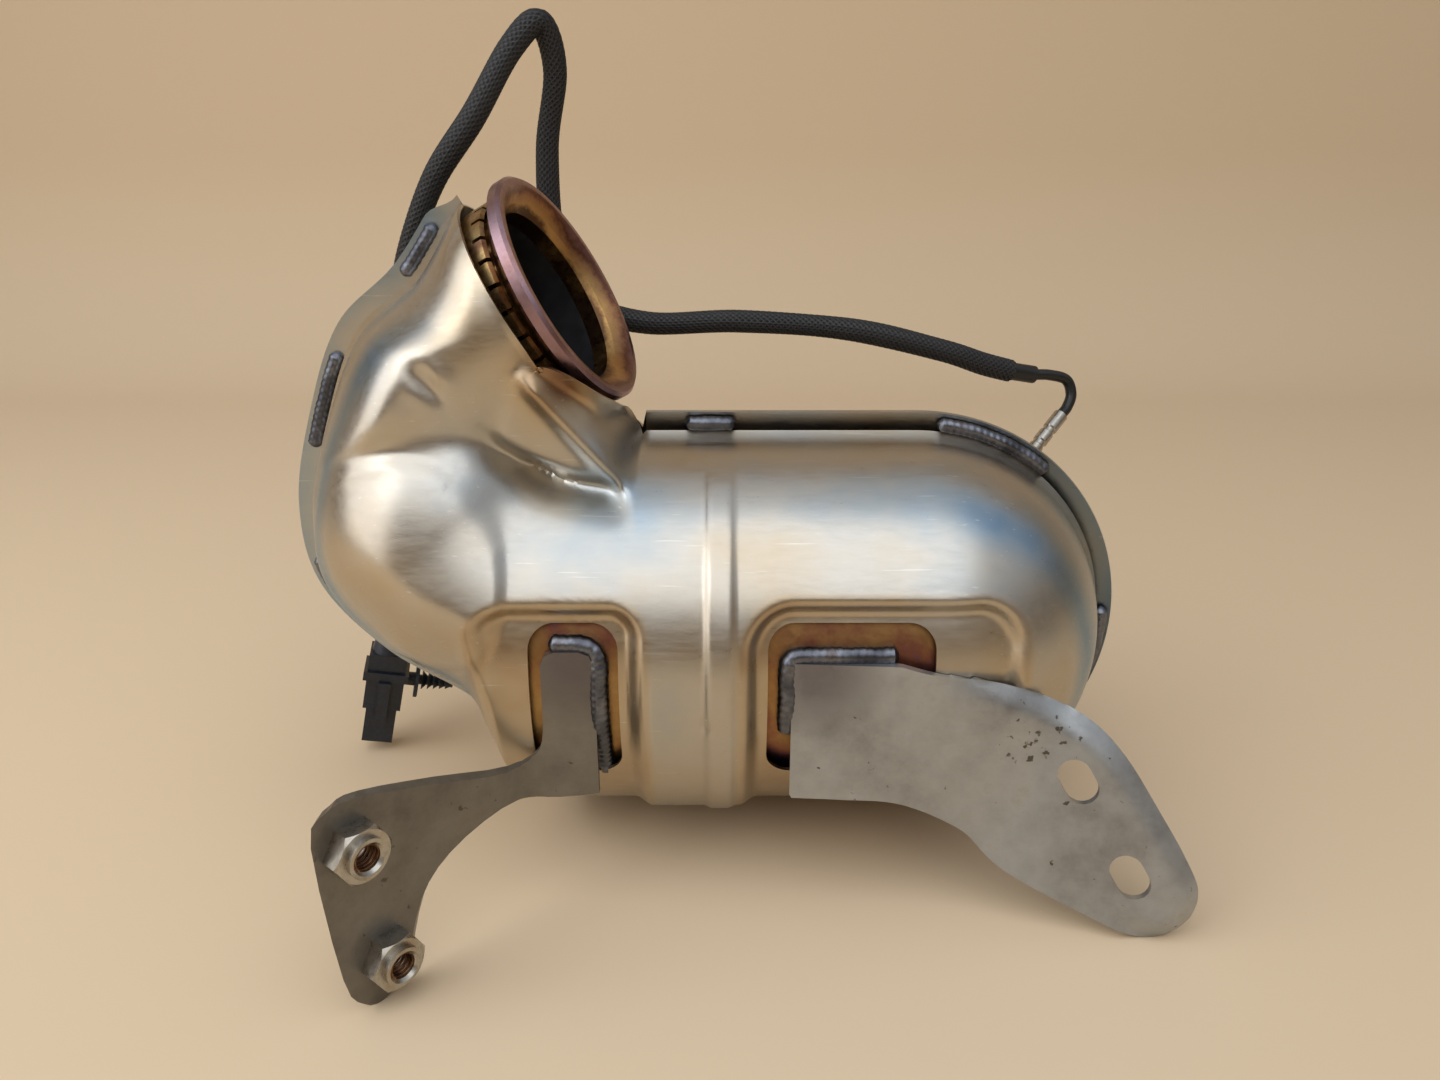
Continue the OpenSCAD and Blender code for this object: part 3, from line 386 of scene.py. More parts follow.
# Cords: a short bare lead out of the sensor's crimped tube, then the long braided sleeve to the plug
sensorOut = Vector((0.63, 0.55, 0.55)).normalized()
domeX = 72
leadRoute = {
    "diameter": 4.6, "step": 0.8, "around": 20,
    "points": [Vector((domeX, 0, 0)) + reach * sensorOut for reach in (118.3, 123.3)] + [
               (151.5, 70, 73), (149, 71, 79), (141, 69, 81.5), (133.54, 66.85, 82.1)],
}
sleeveRoute = {
    "diameter": 10, "strands": 13, "relief": 0.8, "step": 0.6, "tuck": 0.2, "slack": [(0.14, 23, 0), (0.12, 9, 1)],
    "points": [(122.46, 63.15, 84.4), (110, 60, 88), (91, 56, 94.5), (53, 52, 103.5), (8, 51, 107), (-30, 54, 106),
               (-54, 57, 114), (-66, 57, 138), (-67, 56, 172), (-62, 52, 200), (-66, 46, 216), (-76, 40, 207),
               (-90, 34, 184), (-106, 32, 162), (-119, 37, 136), (-129, 47, 108), (-137, 53, 80), (-140, 52, 50),
               (-138, 47, 20), (-139, 43, -6), (-143.5, 42, -26)],
}


def cordPath(route):
    return [canPoint(*p) for p in smoothPath(route["points"], route["step"])]


def braidHeight(s, angle):
    # Two sets of strands wind opposite ways and pass over and under each other
    n = sleeveRoute["strands"]
    turn = s / (sleeveRoute["diameter"] * mm) * 2
    first = 0.5 + 0.5 * math.cos(n * (angle + turn))
    second = 0.5 + 0.5 * math.cos(n * (angle - turn))
    over = math.sin(n * turn / 2 + n * angle / 2) * math.sin(n * turn / 2 - n * angle / 2)
    return max(first * (0.75 + 0.25 * over), second * (0.75 - 0.25 * over))


def braidRadius(s, angle):
    slack = sum(size * math.sin(s / (length * mm) + start) for size, length, start in sleeveRoute["slack"])
    sunk = sleeveRoute["relief"] * (1 - braidHeight(s, angle))
    return (sleeveRoute["diameter"] / 2 - sunk + slack - sleeveRoute["tuck"]) * mm


leadPath = cordPath(leadRoute)
leadMesh = tubeAlong(leadPath, lambda s, a: leadRoute["diameter"] / 2 * mm, leadRoute["around"])
lead = finishPiece("sensorLead", leadMesh, leadRubber, ["sensor_lead"])
sleevePath = cordPath(sleeveRoute)
# The strand height is also stored per vertex, for the braid's painted shade and sheen
sleeveMesh = tubeAlong(sleevePath, braidRadius, 4 * sleeveRoute["strands"], shade=braidHeight)
for vert in sleeveMesh.verts:  # the loop's top stays within the CAD box
    vert.co.z = min(vert.co.z, cadBox[1][2])
sleeve = finishPiece("braidedSleeve", sleeveMesh, braidPet, ["braided_sleeve"])
print("cords", round(pathLength(leadPath), 4), round(pathLength(sleevePath), 4))

# Weld beads: rippled runs laid along the bracket edges and the seam
canRadius = 63.4
weldRun = {"radius": 3.3, "sink": 1.6, "ripple": 2.6, "rippleRise": 0.03, "lump": 5, "lumpRise": 0.07, "taper": 2,
           "step": 0.5, "around": 20}
bracketWelds = {
    "left_bracket_weld": [(-57.5, 17.3), (-51, 17.3), (-46.5, 17.2), (-42.9, 15.7), (-40.8, 11.5), (-40.7, 2),
                          (-40.7, -12), (-40.7, -36)],
    "right_bracket_weld": [(22.7, -16), (22.7, -4), (22.7, 8.6), (23.7, 12.2), (27.2, 13.4), (36, 13.5), (48, 13.5),
                           (60, 13.6)],
}


def beadRadius(length, radius):
    def at(s, angle):
        taper = weldRun["taper"] * mm
        ends = root(min(1, s / taper)) * root(min(1, (length - s) / taper))
        ripple = weldRun["rippleRise"] * math.sin(math.tau * s / (weldRun["ripple"] * mm) + 1.6 * math.cos(angle))
        spot = Vector((s / (weldRun["lump"] * mm), math.cos(angle), radius + math.sin(angle)))
        lump = weldRun["lumpRise"] * noise.noise(spot)
        return radius * mm * max(0.08, ends) * (1 + ripple + lump)
    return at


for node, line in bracketWelds.items():
    reach = canRadius + weldRun["radius"] - weldRun["sink"]
    path = [canPoint(*p) for p in smoothPath([(x, -root(reach ** 2 - z * z), z) for x, z in line], weldRun["step"])]
    bead = tubeAlong(path, beadRadius(pathLength(path), weldRun["radius"]), weldRun["around"])
    finishPiece(node.replace("_", "") + "Bead", bead, weldSteel, [node])

# Threads of the two weld nuts, as coils in their bores
nutThread = {"middles": [(-0.04826, -0.12251, -0.14627), (-0.04376, -0.11715, -0.19021)],
             "axis": (-0.76604, 0.64279, 0), "reach": 4, "pitch": 1.5, "radius": 4.2, "wire": 0.5, "steps": 28}
for k, middle in enumerate(nutThread["middles"]):
    axis = Vector(nutThread["axis"])
    side = axis.orthogonal().normalized()
    turns = 2 * nutThread["reach"] / nutThread["pitch"]
    path = []
    for n in range(round(turns * nutThread["steps"]) + 1):
        angle = math.tau * n / nutThread["steps"]
        out = side * math.cos(angle) + axis.cross(side) * math.sin(angle)
        along = -nutThread["reach"] + nutThread["pitch"] * n / nutThread["steps"]
        path.append(Vector(middle) + (axis * along + out * nutThread["radius"]) * mm)
    coil = tubeAlong(path, lambda s, a: nutThread["wire"] * mm, 10)
    finishPiece("nutThread" + str(k + 1), coil, threadSteel)

# Heat shield: two pressed halves over one outline, as plan sections with a depth
shield = {
    "radius": 72, "sheet": 1.2, "frontFlange": 3, "rearFlange": 10, "leftEnd": -66, "webEnd": -28, "webPlace": 1.3,
    "neckRadius": 42, "neckSetback": 19, "neckLobe": 3.2, "webWait": 0.45, "ribWidth": 12, "ribHeight": 2,
    "recess": 6.2, "recessStep": 7, "fanRows": 130, "domeRows": 50, "rowStep": 1.25, "halfColumns": 68,
}
neckCentre = Vector((inlet["x"], inlet["z"])) - shield["neckSetback"] * inletAlong
leftFoot = Vector((shield["leftEnd"], -shield["radius"]))
wallLine = [neckCentre + shield["neckRadius"] * inletAcross] + [Vector(p) for p in (
    (-106, 129), (-127, 111), (-140, 84), (-150, 50), (-147, 19), (-125, -8), (-95, -28), (-78, -52))] + [leftFoot]
webStart = neckCentre - shield["neckRadius"] * inletAcross
webStop = Vector((shield["webEnd"], shield["radius"]))
# The front half's free edge, from the neck's mouth round the inlet flange down to the top seam
webLine = [Vector(p) for p in ((-59, 106), (-59.3, 105.3), (-59.2, 104.7), (-54.5, 103.4), (-48, 99.5), (-41, 94),
                               (-34, 86.5), (-29.5, 78))] + [webStop]
# left, right, top and bottom edge, and corner radius
windows = [(-64, -34, 25, -34, 9), (16, 72, 25, -34, 9)]
recesses = [(-84, -25, 33, -90, 12), (7, 103, 34, -90, 18)]
outletHole = {"x": domeX + 23, "z": -37, "radius": 26}
sensorHole = {"x": domeX + 70 * sensorOut.x, "z": 70 * sensorOut.z, "radius": 12}
chamber = {"x": -100, "z": 18, "width": 53, "height": 88, "depth": 64, "blend": 14}
neck = {"flare": 0.14, "end": -62, "blend": 7}


def curvePoint(line, u):
    # A smooth curve through the line's points, u counting its spans
    k = min(int(u), len(line) - 2)
    t = u - k
    b, c = line[k], line[k + 1]
    a = line[k - 1] if k else 2 * b - c
    d = line[k + 2] if k + 2 < len(line) else 2 * c - b
    return 0.5 * (2 * b + (c - a) * t + (2 * a - 5 * b + 4 * c - d) * t * t + (3 * b - a - 3 * c + d) * t ** 3)


def section(foot, place, front):
    if front:
        late = max(0, place - 1) / (shield["webPlace"] - 1)
        head = curvePoint(webLine, 3 * min(1, place) + 5 * late ** 1.6)
    else:
        head = mix(webStart, webStop, ease((place - shield["webWait"]) / (shield["webPlace"] - shield["webWait"])))
    return foot, head, mix((foot + head) / 2, Vector((foot.x, 20)), ease((place - 0.8) * 5)), 0, place


def shieldSections(front):
    r = shield["radius"]
    rows = []
    for k in range(shield["fanRows"]):
        u = k / shield["fanRows"]
        rows.append(section(curvePoint(wallLine, u * (len(wallLine) - 1)), u, front))
    steps = round((domeX - shield["leftEnd"]) / shield["rowStep"])
    for k in range(steps):
        x = mix(shield["leftEnd"], domeX, k / steps)
        place = 1 + (shield["webPlace"] - 1) * (x - shield["leftEnd"]) / (shield["webEnd"] - shield["leftEnd"])
        if place < shield["webPlace"]:
            rows.append(section(Vector((x, -r)), place, front))
        else:
            rows.append((Vector((x, -r)), Vector((x, r)), Vector((x, 0)), 1, place))
    for k in range(shield["domeRows"] + 1):
        b = math.pi / 2 * (1 - k / shield["domeRows"])
        rows.append((Vector((domeX + r * math.cos(b), -r * math.sin(b))),
                     Vector((domeX + r * math.cos(b), r * math.sin(b))), Vector((domeX, 0)), 2, 2))
    return rows


def planPoint(row, column, flange):
    foot, head, middle, kind, place = row
    last = 2 * shield["halfColumns"]
    if column == 0:
        return foot + flange * mix(0.35, 1, ease(place * 20)) * (foot - middle).normalized()
    if column == last:
        return head + (2 if kind == 0 else flange) * (head - middle).normalized()
    t = (column - 1) / (last - 2)
    t = mix((1 - math.cos(math.pi * t)) / 2, t, 0.3)
    if kind == 2:
        return mix(foot, middle, 2 * t) if t < 0.5 else mix(middle, head, 2 * t - 1)
    return mix(foot, head, t)


def edgeGap(window, x, z):
    # Distance to a rounded window's edge, negative inside
    left, right, top, bottom, corner = window
    dx = abs(x - (left + right) / 2) - (right - left) / 2 + corner
    dz = abs(z - (top + bottom) / 2) - (top - bottom) / 2 + corner
    return math.hypot(max(dx, 0), max(dz, 0)) + min(max(dx, dz), 0) - corner


def bodyDepth(x, z):
    r = shield["radius"]
    limb = root(r * r - z * z - max(0, x - domeX) ** 2 - (0.95 * max(0, -72 - x)) ** 2)
    across, up = (x - chamber["x"]) / chamber["width"], (z - chamber["z"]) / chamber["height"]
    bulge = chamber["depth"] * root(1 - across ** 2 - up ** 2)
    offset = Vector((x - inlet["x"], z - inlet["z"]))
    along, across = offset.dot(inletAlong), offset.dot(inletAcross)
    lobe = shield["neckLobe"] * ease((along + shield["neckSetback"]) / 6) * ease((-across - 8) / 10)
    neckR = shield["neckRadius"] + neck["flare"] * max(0, -along - shield["neckSetback"]) + lobe
    pipe = root(neckR ** 2 - across ** 2 - max(0, neck["end"] - along) ** 2)
    return softMax(softMax(limb, bulge, chamber["blend"]), pipe, neck["blend"])


# The front half's web: a flat pressed panel, a ridge along it and the swollen pad beside it
webPanel = {"depth": 33.6, "slope": -0.07, "ridgeFrom": Vector((-64, 103)), "ridgeTo": Vector((-32.5, 64)),
            "ridgeHeight": 4.4, "ridgeWidth": 3.4, "fall": 18, "lean": 0.148, "leanFrom": 80, "grooveDepth": 5,
            "grooveWidths": (3.4, 4.5), "edgeX": -32, "edgeZ": 62, "edgeSpan": 48, "edgeRise": 20, "edgeStep": 6}
chamberPad = {"x": -108, "z": 38, "width": 36.5, "height": 39, "rise": 2.4, "step": 6}
# Marks from handling: x, z, half length, half width, the long side's turn in degrees, rise
dents = [(-94, 101, 8, 3.4, -52, -1.7), (-89.5, 103, 7, 3, -60, 0.8), (-98, 99, 6, 3, -45, 0.5),
         (-48.5, 95.5, 9, 3, -51, -2.6), (-5, -8.5, 1.9, 1.9, 0, -0.9)]


def ridgeGap(x, z):
    # Distance past the ridge line on the inlet's side, and the share of the ridge's length
    run = webPanel["ridgeTo"] - webPanel["ridgeFrom"]
    across = Vector((-run.y, run.x)).normalized()
    offset = Vector((x, z)) - webPanel["ridgeFrom"]
    return offset.dot(across), offset.dot(run) / run.length_squared


def belowPanel(x, z):
    # Distance above the panel's curved lower edge, negative below it
    span, rise = webPanel["edgeSpan"], webPanel["edgeRise"]
    reach = max(0, webPanel["edgeX"] - x) / span
    return (z - webPanel["edgeZ"] - rise * reach * reach) / math.sqrt(1 + (2 * rise * reach / span) ** 2)


def panelDepth(x, z):
    return webPanel["depth"] + webPanel["slope"] * x + webPanel["lean"] * (z - webPanel["leanFrom"])


def panelShare(x, z, place):
    gap, share = ridgeGap(x, z)
    left = ease((x + 74 + (105 - z) * 0.39) / 12)
    across = ease(belowPanel(x, z) / webPanel["edgeStep"] + 0.5) * (1 - ease((gap - 1) / webPanel["fall"]))
    return left * across * ease((share + 0.2) * 5) * ease((shield["webPlace"] - place) * 9)


def grooveDepth(x, z):
    # The scoop under the panel: a short steep wall above and a longer lip below
    up = belowPanel(x, z)
    ends = ease((x + 84) / 12) * ease((-30 - x) / 7)
    width = webPanel["grooveWidths"][0 if up > -1 else 1]
    return -webPanel["grooveDepth"] * ends * math.exp(-((up + 1) / width) ** 2)


def dentDepth(x, z):
    total = 0
    for dx, dz, length, width, turn, rise in dents:
        if abs(x - dx) + abs(z - dz) < 30:
            c, w = math.cos(math.radians(turn)), math.sin(math.radians(turn))
            u, v = (x - dx) * c + (z - dz) * w, (z - dz) * c - (x - dx) * w
            total += rise * math.exp(-(u / length) ** 2 - (v / width) ** 2)
    return total


def pressedForms(x, z):
    gap, share = ridgeGap(x, z)
    ridge = math.exp(-(gap / webPanel["ridgeWidth"]) ** 2) * ease((share + 0.1) * 4) * ease((1.06 - share) * 8)
    reach = math.hypot((x - chamberPad["x"]) / chamberPad["width"], (z - chamberPad["z"]) / chamberPad["height"])
    pad = ease((1 - reach) * chamberPad["width"] / chamberPad["step"] + 0.5)
    return webPanel["ridgeHeight"] * ridge + chamberPad["rise"] * pad + dentDepth(x, z) + grooveDepth(x, z)


def pressedDetail(x, z):
    r = shield["radius"]
    share = max(1 - ease(edgeGap(w, x, z) / shield["recessStep"] + 1) for w in recesses)
    rib = shield["ribHeight"] * (1 - ease((abs(x) / shield["ribWidth"] - 0.25) * 4)) * ease((r - abs(z)) / 8)
    return rib - shield["recess"] * share + pressedForms(x, z)


def shieldDepth(row, column, p, front):
    foot, head, middle, kind, place = row
    if column == 0 or (kind and column == 2 * shield["halfColumns"]):
        return 0
    x, z = p
    extra = pressedDetail(x, z) if front else 0
    body = bodyDepth(x, z)
    if kind:
        return max(0, body + extra)
    inside, beyond = (p - foot).length, (p - head).length
    side = math.sqrt(2 * mix(45, 160, ease((place - 0.75) * 4)) * inside)
    web = (10 + min(14, 0.3 * beyond)) * ease(place * 6) * ease((shield["webPlace"] - place) * 4)
    whole = softMax(body, web, 10)
    if front:
        ledge = 0.9 * math.exp(-((inside - 8) / 2.2) ** 2) * ease((0.95 - place) * 8)
        whole = mix(whole, panelDepth(x, z), panelShare(x, z, place)) - ledge
    return max(0, softMin(whole, side, 8) + extra)


def cutHole(bm, gapOf):
    # Every edge that crosses the hole's rim is split there, the faces are cut from rim to rim, and the inside goes
    rim = set()
    for edge in list(bm.edges):
        a, b = edge.verts
        if gapOf[a] * gapOf[b] < 0:
            vert = bmesh.utils.edge_split(edge, a, gapOf[a] / (gapOf[a] - gapOf[b]))[1]
            gapOf[vert] = 0
            rim.add(vert)
    for face in list(bm.faces):
        ends = [v for v in face.verts if v in rim]
        if len(ends) == 2:
            bmesh.utils.face_split(face, ends[0], ends[1])
    inside = [f for f in bm.faces if sum(gapOf[v] for v in f.verts) < 0]
    bmesh.ops.delete(bm, geom=inside, context="FACES")


def thicken(bm, depth):
    # Gives the sheet its thickness behind the faces, with closed rims
    bm.normal_update()
    verts, rims = bm.verts[:], [edge for edge in bm.edges if edge.is_boundary]
    inner = bmesh.ops.duplicate(bm, geom=verts + bm.edges[:] + bm.faces[:])["vert_map"]
    for vert in verts:
        inner[vert].co = vert.co - vert.normal * depth * mm
    for edge in rims:
        a, b = edge.verts
        bm.faces.new((a, b, inner[b], inner[a]))
    bmesh.ops.recalc_face_normals(bm, faces=bm.faces)


# The press rounds the creases round the web panel
softening = {"x": (-90, -27), "z": (48, 108), "passes": 8, "factor": 0.5}


def softenWeb(bm):
    low, high = [canPoint(x, 0, z) for x, z in zip(softening["x"], softening["z"])]
    inside = [vert for vert in bm.verts
              if not vert.is_boundary and low.x < vert.co.x < high.x and low.z < vert.co.z < high.z]
    for k in range(softening["passes"]):
        bmesh.ops.smooth_vert(bm, verts=inside, factor=softening["factor"], use_axis_x=True, use_axis_y=True,
                              use_axis_z=True)


def buildShield(name, front, holes, flange, replaced):
    rows = shieldSections(front)
    columns = 2 * shield["halfColumns"]
    bm = bmesh.new()
    bmesh.ops.create_grid(bm, x_segments=len(rows) - 1, y_segments=columns, size=0.5)
    tintLayer = bm.verts.layers.float.new("heatTint")
    gaps = [{} for hole in holes]
    for vert in bm.verts:
        i = round((vert.co.x + 0.5) * (len(rows) - 1))
        j = round((vert.co.y + 0.5) * columns)
        p = planPoint(rows[i], j, flange)
        depth = shieldDepth(rows[i], j, p, front)
        vert.co = canPoint(p.x, -(shield["sheet"] + depth) if front else shield["sheet"] + depth, p.y)
        rim = min((p - rows[i][0]).length, (p - rows[i][1]).length)
        vert[tintLayer] = heatTint(p, depth, rim, front)
        for gapOf, hole in zip(gaps, holes):
            gapOf[vert] = edgeGap(hole, p.x, p.y)
    for k, gapOf in enumerate(gaps):
        cutHole(bm, gapOf)
        for other in gaps[k + 1:]:
            other.update({vert: 1 for vert in bm.verts if vert not in other})
    bmesh.ops.remove_doubles(bm, verts=bm.verts, dist=2e-5)
    bmesh.ops.recalc_face_normals(bm, faces=bm.faces)
    outward = sum(f.normal.y * f.calc_area() for f in bm.faces)
    if (outward > 0) == front:
        bmesh.ops.reverse_faces(bm, faces=bm.faces)
    if front:
        softenWeb(bm)
    thicken(bm, shield["sheet"])
    return finishPiece(name, bm, stainless, replaced, 50)


def heatTint(p, depth, rim, front):
    # Straw in the middle, blue where the sheet turns down to the seam, bronze round the windows
    blue = math.exp(-((rim - 14) / 6) ** 2) * mix(0.85, 0.28, ease((p.x + 105) / 25) * ease((95 - p.x) / 25))
    level = mix(0.5, 0.0, blue) + 0.14 * noise.noise(Vector((p.x / 35, p.y / 35, 0)))
    if front:
        share = max(1 - ease(edgeGap(w, p.x, p.y) / 3) for w in recesses)
        level = mix(level, 0.86, 0.6 * share)
        neckWarmth = ease(1 - ((p - Vector((inlet["x"], inlet["z"]))).length - 30) / 34)
        level = mix(level, 0.74, 0.6 * neckWarmth)
        level = mix(level, 1.0, 0.75 * ease(1 - (p - Vector((-52, 102))).length / 26))
    return level


rearHoles = [(h["x"] - h["radius"], h["x"] + h["radius"], h["z"] + h["radius"], h["z"] - h["radius"], h["radius"])
             for h in (outletHole, sensorHole)]
frontShield = buildShield("frontShield", True, windows, shield["frontFlange"], ["front_shield"])
rearShield = buildShield("rearShield", False, rearHoles, shield["rearFlange"], ["rear_shield"])
print("shields", len(frontShield.data.vertices), len(rearShield.data.vertices))

# Seam welds: short beads on the rear flange along the front flange's edge
seamRun = {"out": 5.4, "radius": 2.7, "middle": -0.3, "back": 0.2, "samples": 5,
           "fan": [(1.6, 4.3), (9.4, 13.8), (18.8, 21.4), (24.8, 27.2)], "fanCount": 36, "top": (6, -13),
           "arcs": [(49, 84), (-24, 3)]}


def seamPaths():
    reach = shield["radius"] + seamRun["out"]
    lines = []
    for first, last in seamRun["fan"]:
        line = []
        for k in range(seamRun["samples"]):
            u = mix(first, last, k / (seamRun["samples"] - 1)) / seamRun["fanCount"]
            foot, head, middle, kind, place = section(curvePoint(wallLine, u * (len(wallLine) - 1)), u, False)
            line.append(foot + seamRun["out"] * (foot - middle).normalized())
        lines.append(line)
    lines.append([Vector((x, reach)) for x in (seamRun["top"][0], sum(seamRun["top"]) / 2, seamRun["top"][1])])
    for first, last in seamRun["arcs"]:
        turns = [math.radians(mix(first, last, k / 6)) for k in range(7)]
        lines.append([Vector((domeX + reach * math.cos(a), reach * math.sin(a))) for a in turns])
    return [smoothPath([canPoint(p.x, seamRun["middle"], p.y) for p in line], weldRun["step"] * mm) for line in lines]


def buildSeamBeads():
    whole = bmesh.new()
    for path in seamPaths():
        bm = tubeAlong(path, beadRadius(pathLength(path), seamRun["radius"]), 18)
        run = bpy.data.meshes.new("run")
        bm.to_mesh(run)
        bm.free()
        whole.from_mesh(run)
        bpy.data.meshes.remove(run)
    for vert in whole.verts:
        vert.co.y = min(vert.co.y, canPoint(0, seamRun["back"], 0).y)
    return finishPiece("seamBeads", whole, weldSteel, ["seam_welds"])


buildSeamBeads()

# Right bracket: a thick sheet bent outward towards its tip, with its upper edge rolled back
rightPlate = {
    "turn": math.radians(16), "middle": Vector((101, -30)), "front": -66.7, "thick": 3, "start": -90, "low": -62,
    "sheet": (176, 116), "bend": 8, "slopes": (4, 14), "step": 1.2, "roll": 9, "rollBack": 5,
    "twist": 0.1, "twistFrom": -12, "twistOver": 22,
    "outline": [(24, 12), (60, 12), (72, 9), (92, 6), (112, -1), (126, -8.5), (137, -20), (148, -37), (157, -52),
                (162, -64), (159, -75), (149, -82), (134, -78), (98, -62), (83, -49), (62, -40), (40, -39), (24, -39)],
    "slotMiddle": Vector((129.5, -43)), "slotApart": 18.25, "slotTurn": math.radians(-60), "slotSize": (16, 11),
}


def plateAxes():
    c, w = math.cos(rightPlate["turn"]), math.sin(rightPlate["turn"])
    return Vector((c, -w)), Vector((w, c))


def plateDepth(s):
    # The front face's place along y: a gentle slope, a bend and a steeper slope
    first, second = (math.tan(math.radians(a)) for a in rightPlate["slopes"])
    bend = rightPlate["bend"]
    rise = first * (s - rightPlate["start"])
    if s > -bend:
        t = min(1, (s + bend) / (2 * bend))
        rise += (second - first) * bend * t * t
        rise += (second - first) * max(0, s - bend)
    return rightPlate["front"] - rise


def outlineGap(p, outline):
    # Distance inside the outline, negative outside
    best, inside = 1e9, False
    for a, b in zip(outline, outline[1:] + outline[:1]):
        run = b - a
        t = min(1, max(0, (p - a).dot(run) / run.length_squared))
        best = min(best, (p - a - t * run).length)
        if (a.y > p.y) != (b.y > p.y) and p.x < a.x + (p.y - a.y) * run.x / run.y:
            inside = not inside
    return best if inside else -best


def slotGap(p, middle):
    length, width = rightPlate["slotSize"]
    run = Vector((math.cos(rightPlate["slotTurn"]), math.sin(rightPlate["slotTurn"])))
    t = min(1, max(-1, (p - middle).dot(run) / ((length - width) / 2)))
    return (p - middle - t * (length - width) / 2 * run).length - width / 2


def buildRightPlate():
    along, across = plateAxes()
    line = [Vector(p) for p in rightPlate["outline"]]
    smooth = [p.to_2d() for p in smoothPath([(p.x, p.y, 0) for p in line[1:-1]], 2)]
    outline = [line[0]] + smooth + [line[-1]]
    slotRun = Vector((math.cos(rightPlate["slotTurn"]), math.sin(rightPlate["slotTurn"])))
    slots = [rightPlate["slotMiddle"] + k * rightPlate["slotApart"] * slotRun for k in (-1, 1)]
    bm = bmesh.new()
    width, height = rightPlate["sheet"]
    step = rightPlate["step"]
    bmesh.ops.create_grid(bm, x_segments=round(width / step), y_segments=round(height / step), size=0.5)
    edge = {}
    holes = [{} for slot in slots]
    for vert in bm.verts:
        s = rightPlate["start"] + (vert.co.x + 0.5) * width
        v = rightPlate["low"] + (vert.co.y + 0.5) * height
        p = rightPlate["middle"] + s * along + v * across
        edge[vert] = outlineGap(p, outline)
        for gapOf, slot in zip(holes, slots):
            gapOf[vert] = slotGap(p, slot)
        # The free end leans back, and its rim rolls back from the tab round to the underside
        lean = rightPlate["twist"] * v * ease((s - rightPlate["twistFrom"]) / rightPlate["twistOver"])
        rolled = ease((p.x - 66) / 40) * ease((p.y - mix(-40, -100, ease((p.x - 105) / 50))) / 18)
        rim = min(1, max(0, 1 - edge[vert] / rightPlate["roll"]))
        vert.co = canPoint(p.x, plateDepth(s) + lean + rolled * rightPlate["rollBack"] * rim * rim, p.y)
    cutHole(bm, edge)
    for gapOf in holes:
        gapOf.update({vert: 1 for vert in bm.verts if vert not in gapOf})
    for k, gapOf in enumerate(holes):
        cutHole(bm, gapOf)
        for other in holes[k + 1:]:
            other.update({vert: 1 for vert in bm.verts if vert not in other})
    bmesh.ops.remove_doubles(bm, verts=bm.verts, dist=5e-5)
    bmesh.ops.recalc_face_normals(bm, faces=bm.faces)
    if sum(f.normal.y * f.calc_area() for f in bm.faces) > 0:
        bmesh.ops.reverse_faces(bm, faces=bm.faces)
    thicken(bm, rightPlate["thick"])
    for vert in bm.verts:  # the leaning tip stays on the floor and within the CAD box
        vert.co.z = max(vert.co.z, floorZ)
        vert.co.x = min(vert.co.x, cadBox[1][0])
    return finishPiece("rightPlate", bm, plate, ["right_bracket"], 50)


rightBracket = buildRightPlate()
print("right bracket", len(rightBracket.data.vertices))

# Stage: a pale card sweep, soft lamps and an even world
sweep = {"width": 6, "front": -2.2, "back": 1.0, "bend": 0.25, "height": 2.4, "colour": "#D8C2A3",
         "drop": 0.0002}


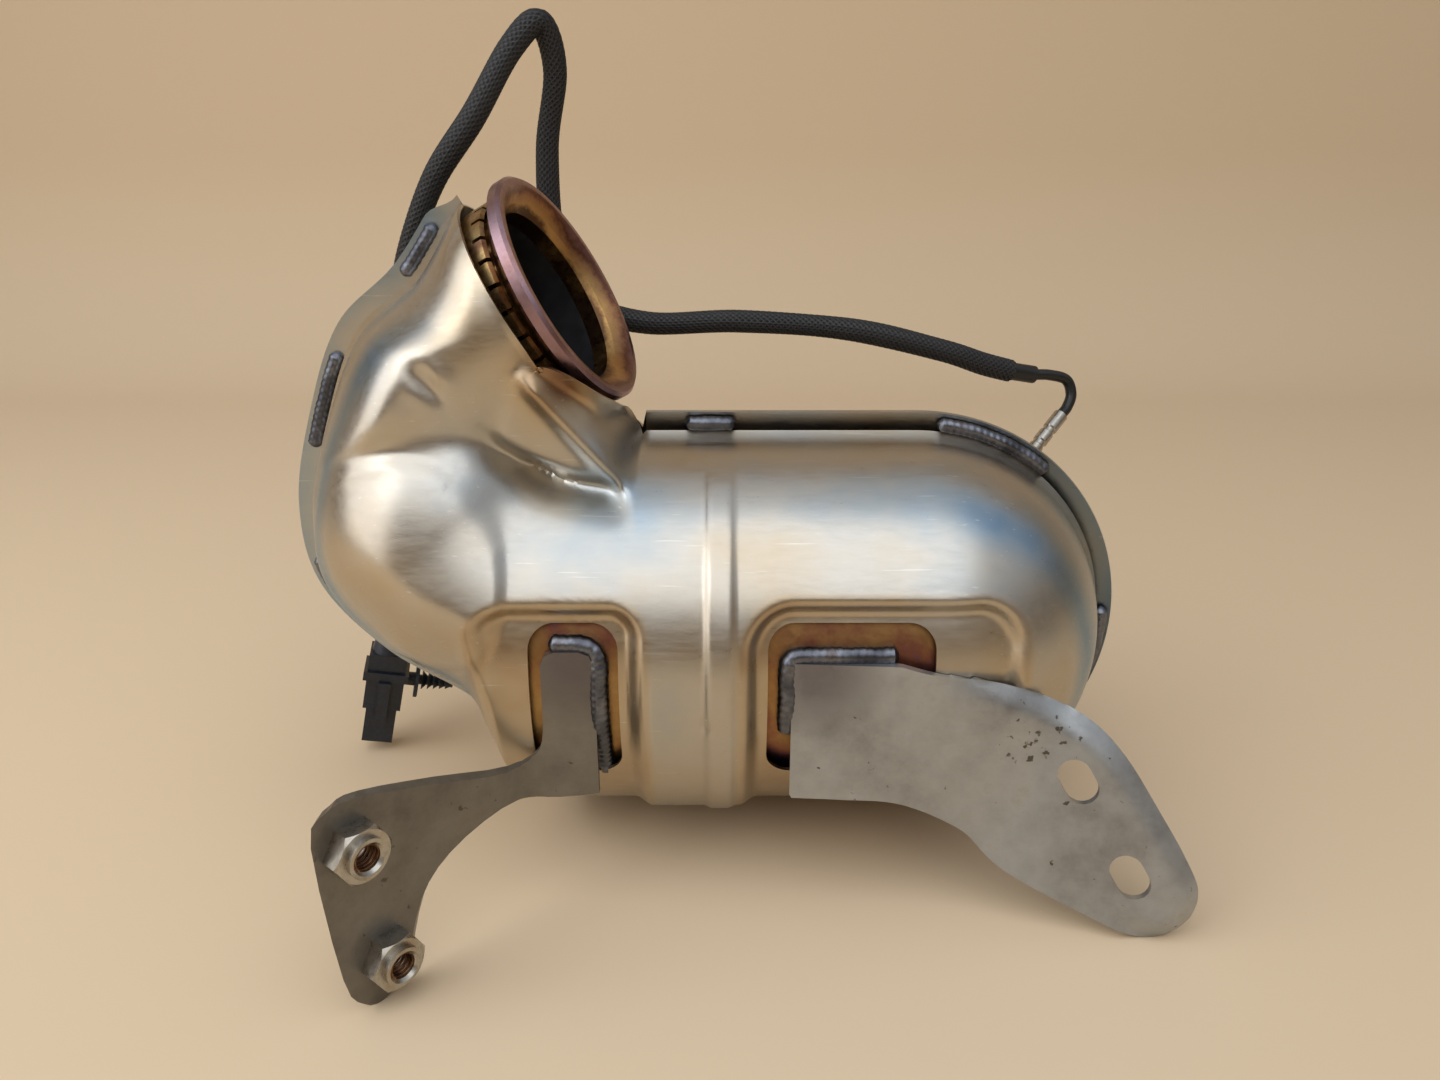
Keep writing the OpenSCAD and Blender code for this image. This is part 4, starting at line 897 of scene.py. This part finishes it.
def buildSweep():
    bm = bmesh.new()
    bmesh.ops.create_grid(bm, x_segments=40, y_segments=1, size=0.5)
    for vert in bm.verts:
        s, x = vert.co.x + 0.5, vert.co.y * sweep["width"]
        if s < 0.4:
            y, z = mix(sweep["front"], sweep["back"] - sweep["bend"], s / 0.4), 0
        elif s < 0.7:
            a = (s - 0.4) / 0.3 * math.pi / 2
            y = sweep["back"] - sweep["bend"] + sweep["bend"] * math.sin(a)
            z = sweep["bend"] * (1 - math.cos(a))
        else:
            y, z = sweep["back"], mix(sweep["bend"], sweep["height"], (s - 0.7) / 0.3)
        vert.co = (x, y, floorZ - sweep["drop"] + z)
    bmesh.ops.recalc_face_normals(bm, faces=bm.faces)
    mesh = bpy.data.meshes.new("sweep")
    for face in bm.faces:
        face.smooth = True
    bm.to_mesh(mesh)
    bm.free()
    piece = bpy.data.objects.new("sweep", mesh)
    bpy.context.scene.collection.objects.link(piece)
    material, tree, shader, place = startMaterial("paleCard", Roughness=0.9)
    shader.inputs["Base Color"].default_value = hexColour(sweep["colour"])
    mesh.materials.append(material)


buildSweep()
lamps = [  # name, place in the can's mm, what it looks at, width and height in m, watts
    ("skyLamp", (-150, -700, 1150), (0, 0, 0), (2.2, 1.5), 12),
    ("leftLamp", (-1000, -450, 500), (0, 0, 40), (1.0, 1.0), 5),
]
for name, place, aim, (width, height), watts in lamps:
    lampData = bpy.data.lights.new(name, "AREA")
    lampData.shape = "RECTANGLE"
    lampData.size, lampData.size_y, lampData.energy = width, height, watts
    lamp = bpy.data.objects.new(name, lampData)
    bpy.context.scene.collection.objects.link(lamp)
    lamp.location = canPoint(*place)
    lamp.rotation_euler = (canPoint(*aim) - canPoint(*place)).to_track_quat("-Z", "Y").to_euler()
world = bpy.data.worlds.new("evenLight")
world.use_nodes = True
bpy.context.scene.world = world
tree = world.node_tree
upward = addNode(tree, "SeparateXYZ", {"Vector": addNode(tree, "TexCoord").outputs["Generated"]}).outputs["Z"]
sky = addNode(tree, "ValToRGB", {"Fac": upward}, stops=[
    (0.0, "#8F7C66"), (0.25, "#A39280"), (0.5, "#DCE3EC"), (1.0, "#EEF4FC")])
tree.links.new(sky.outputs["Color"], tree.nodes["Background"].inputs["Color"])
tree.nodes["Background"].inputs["Strength"].default_value = 0.7
print("stage ready")
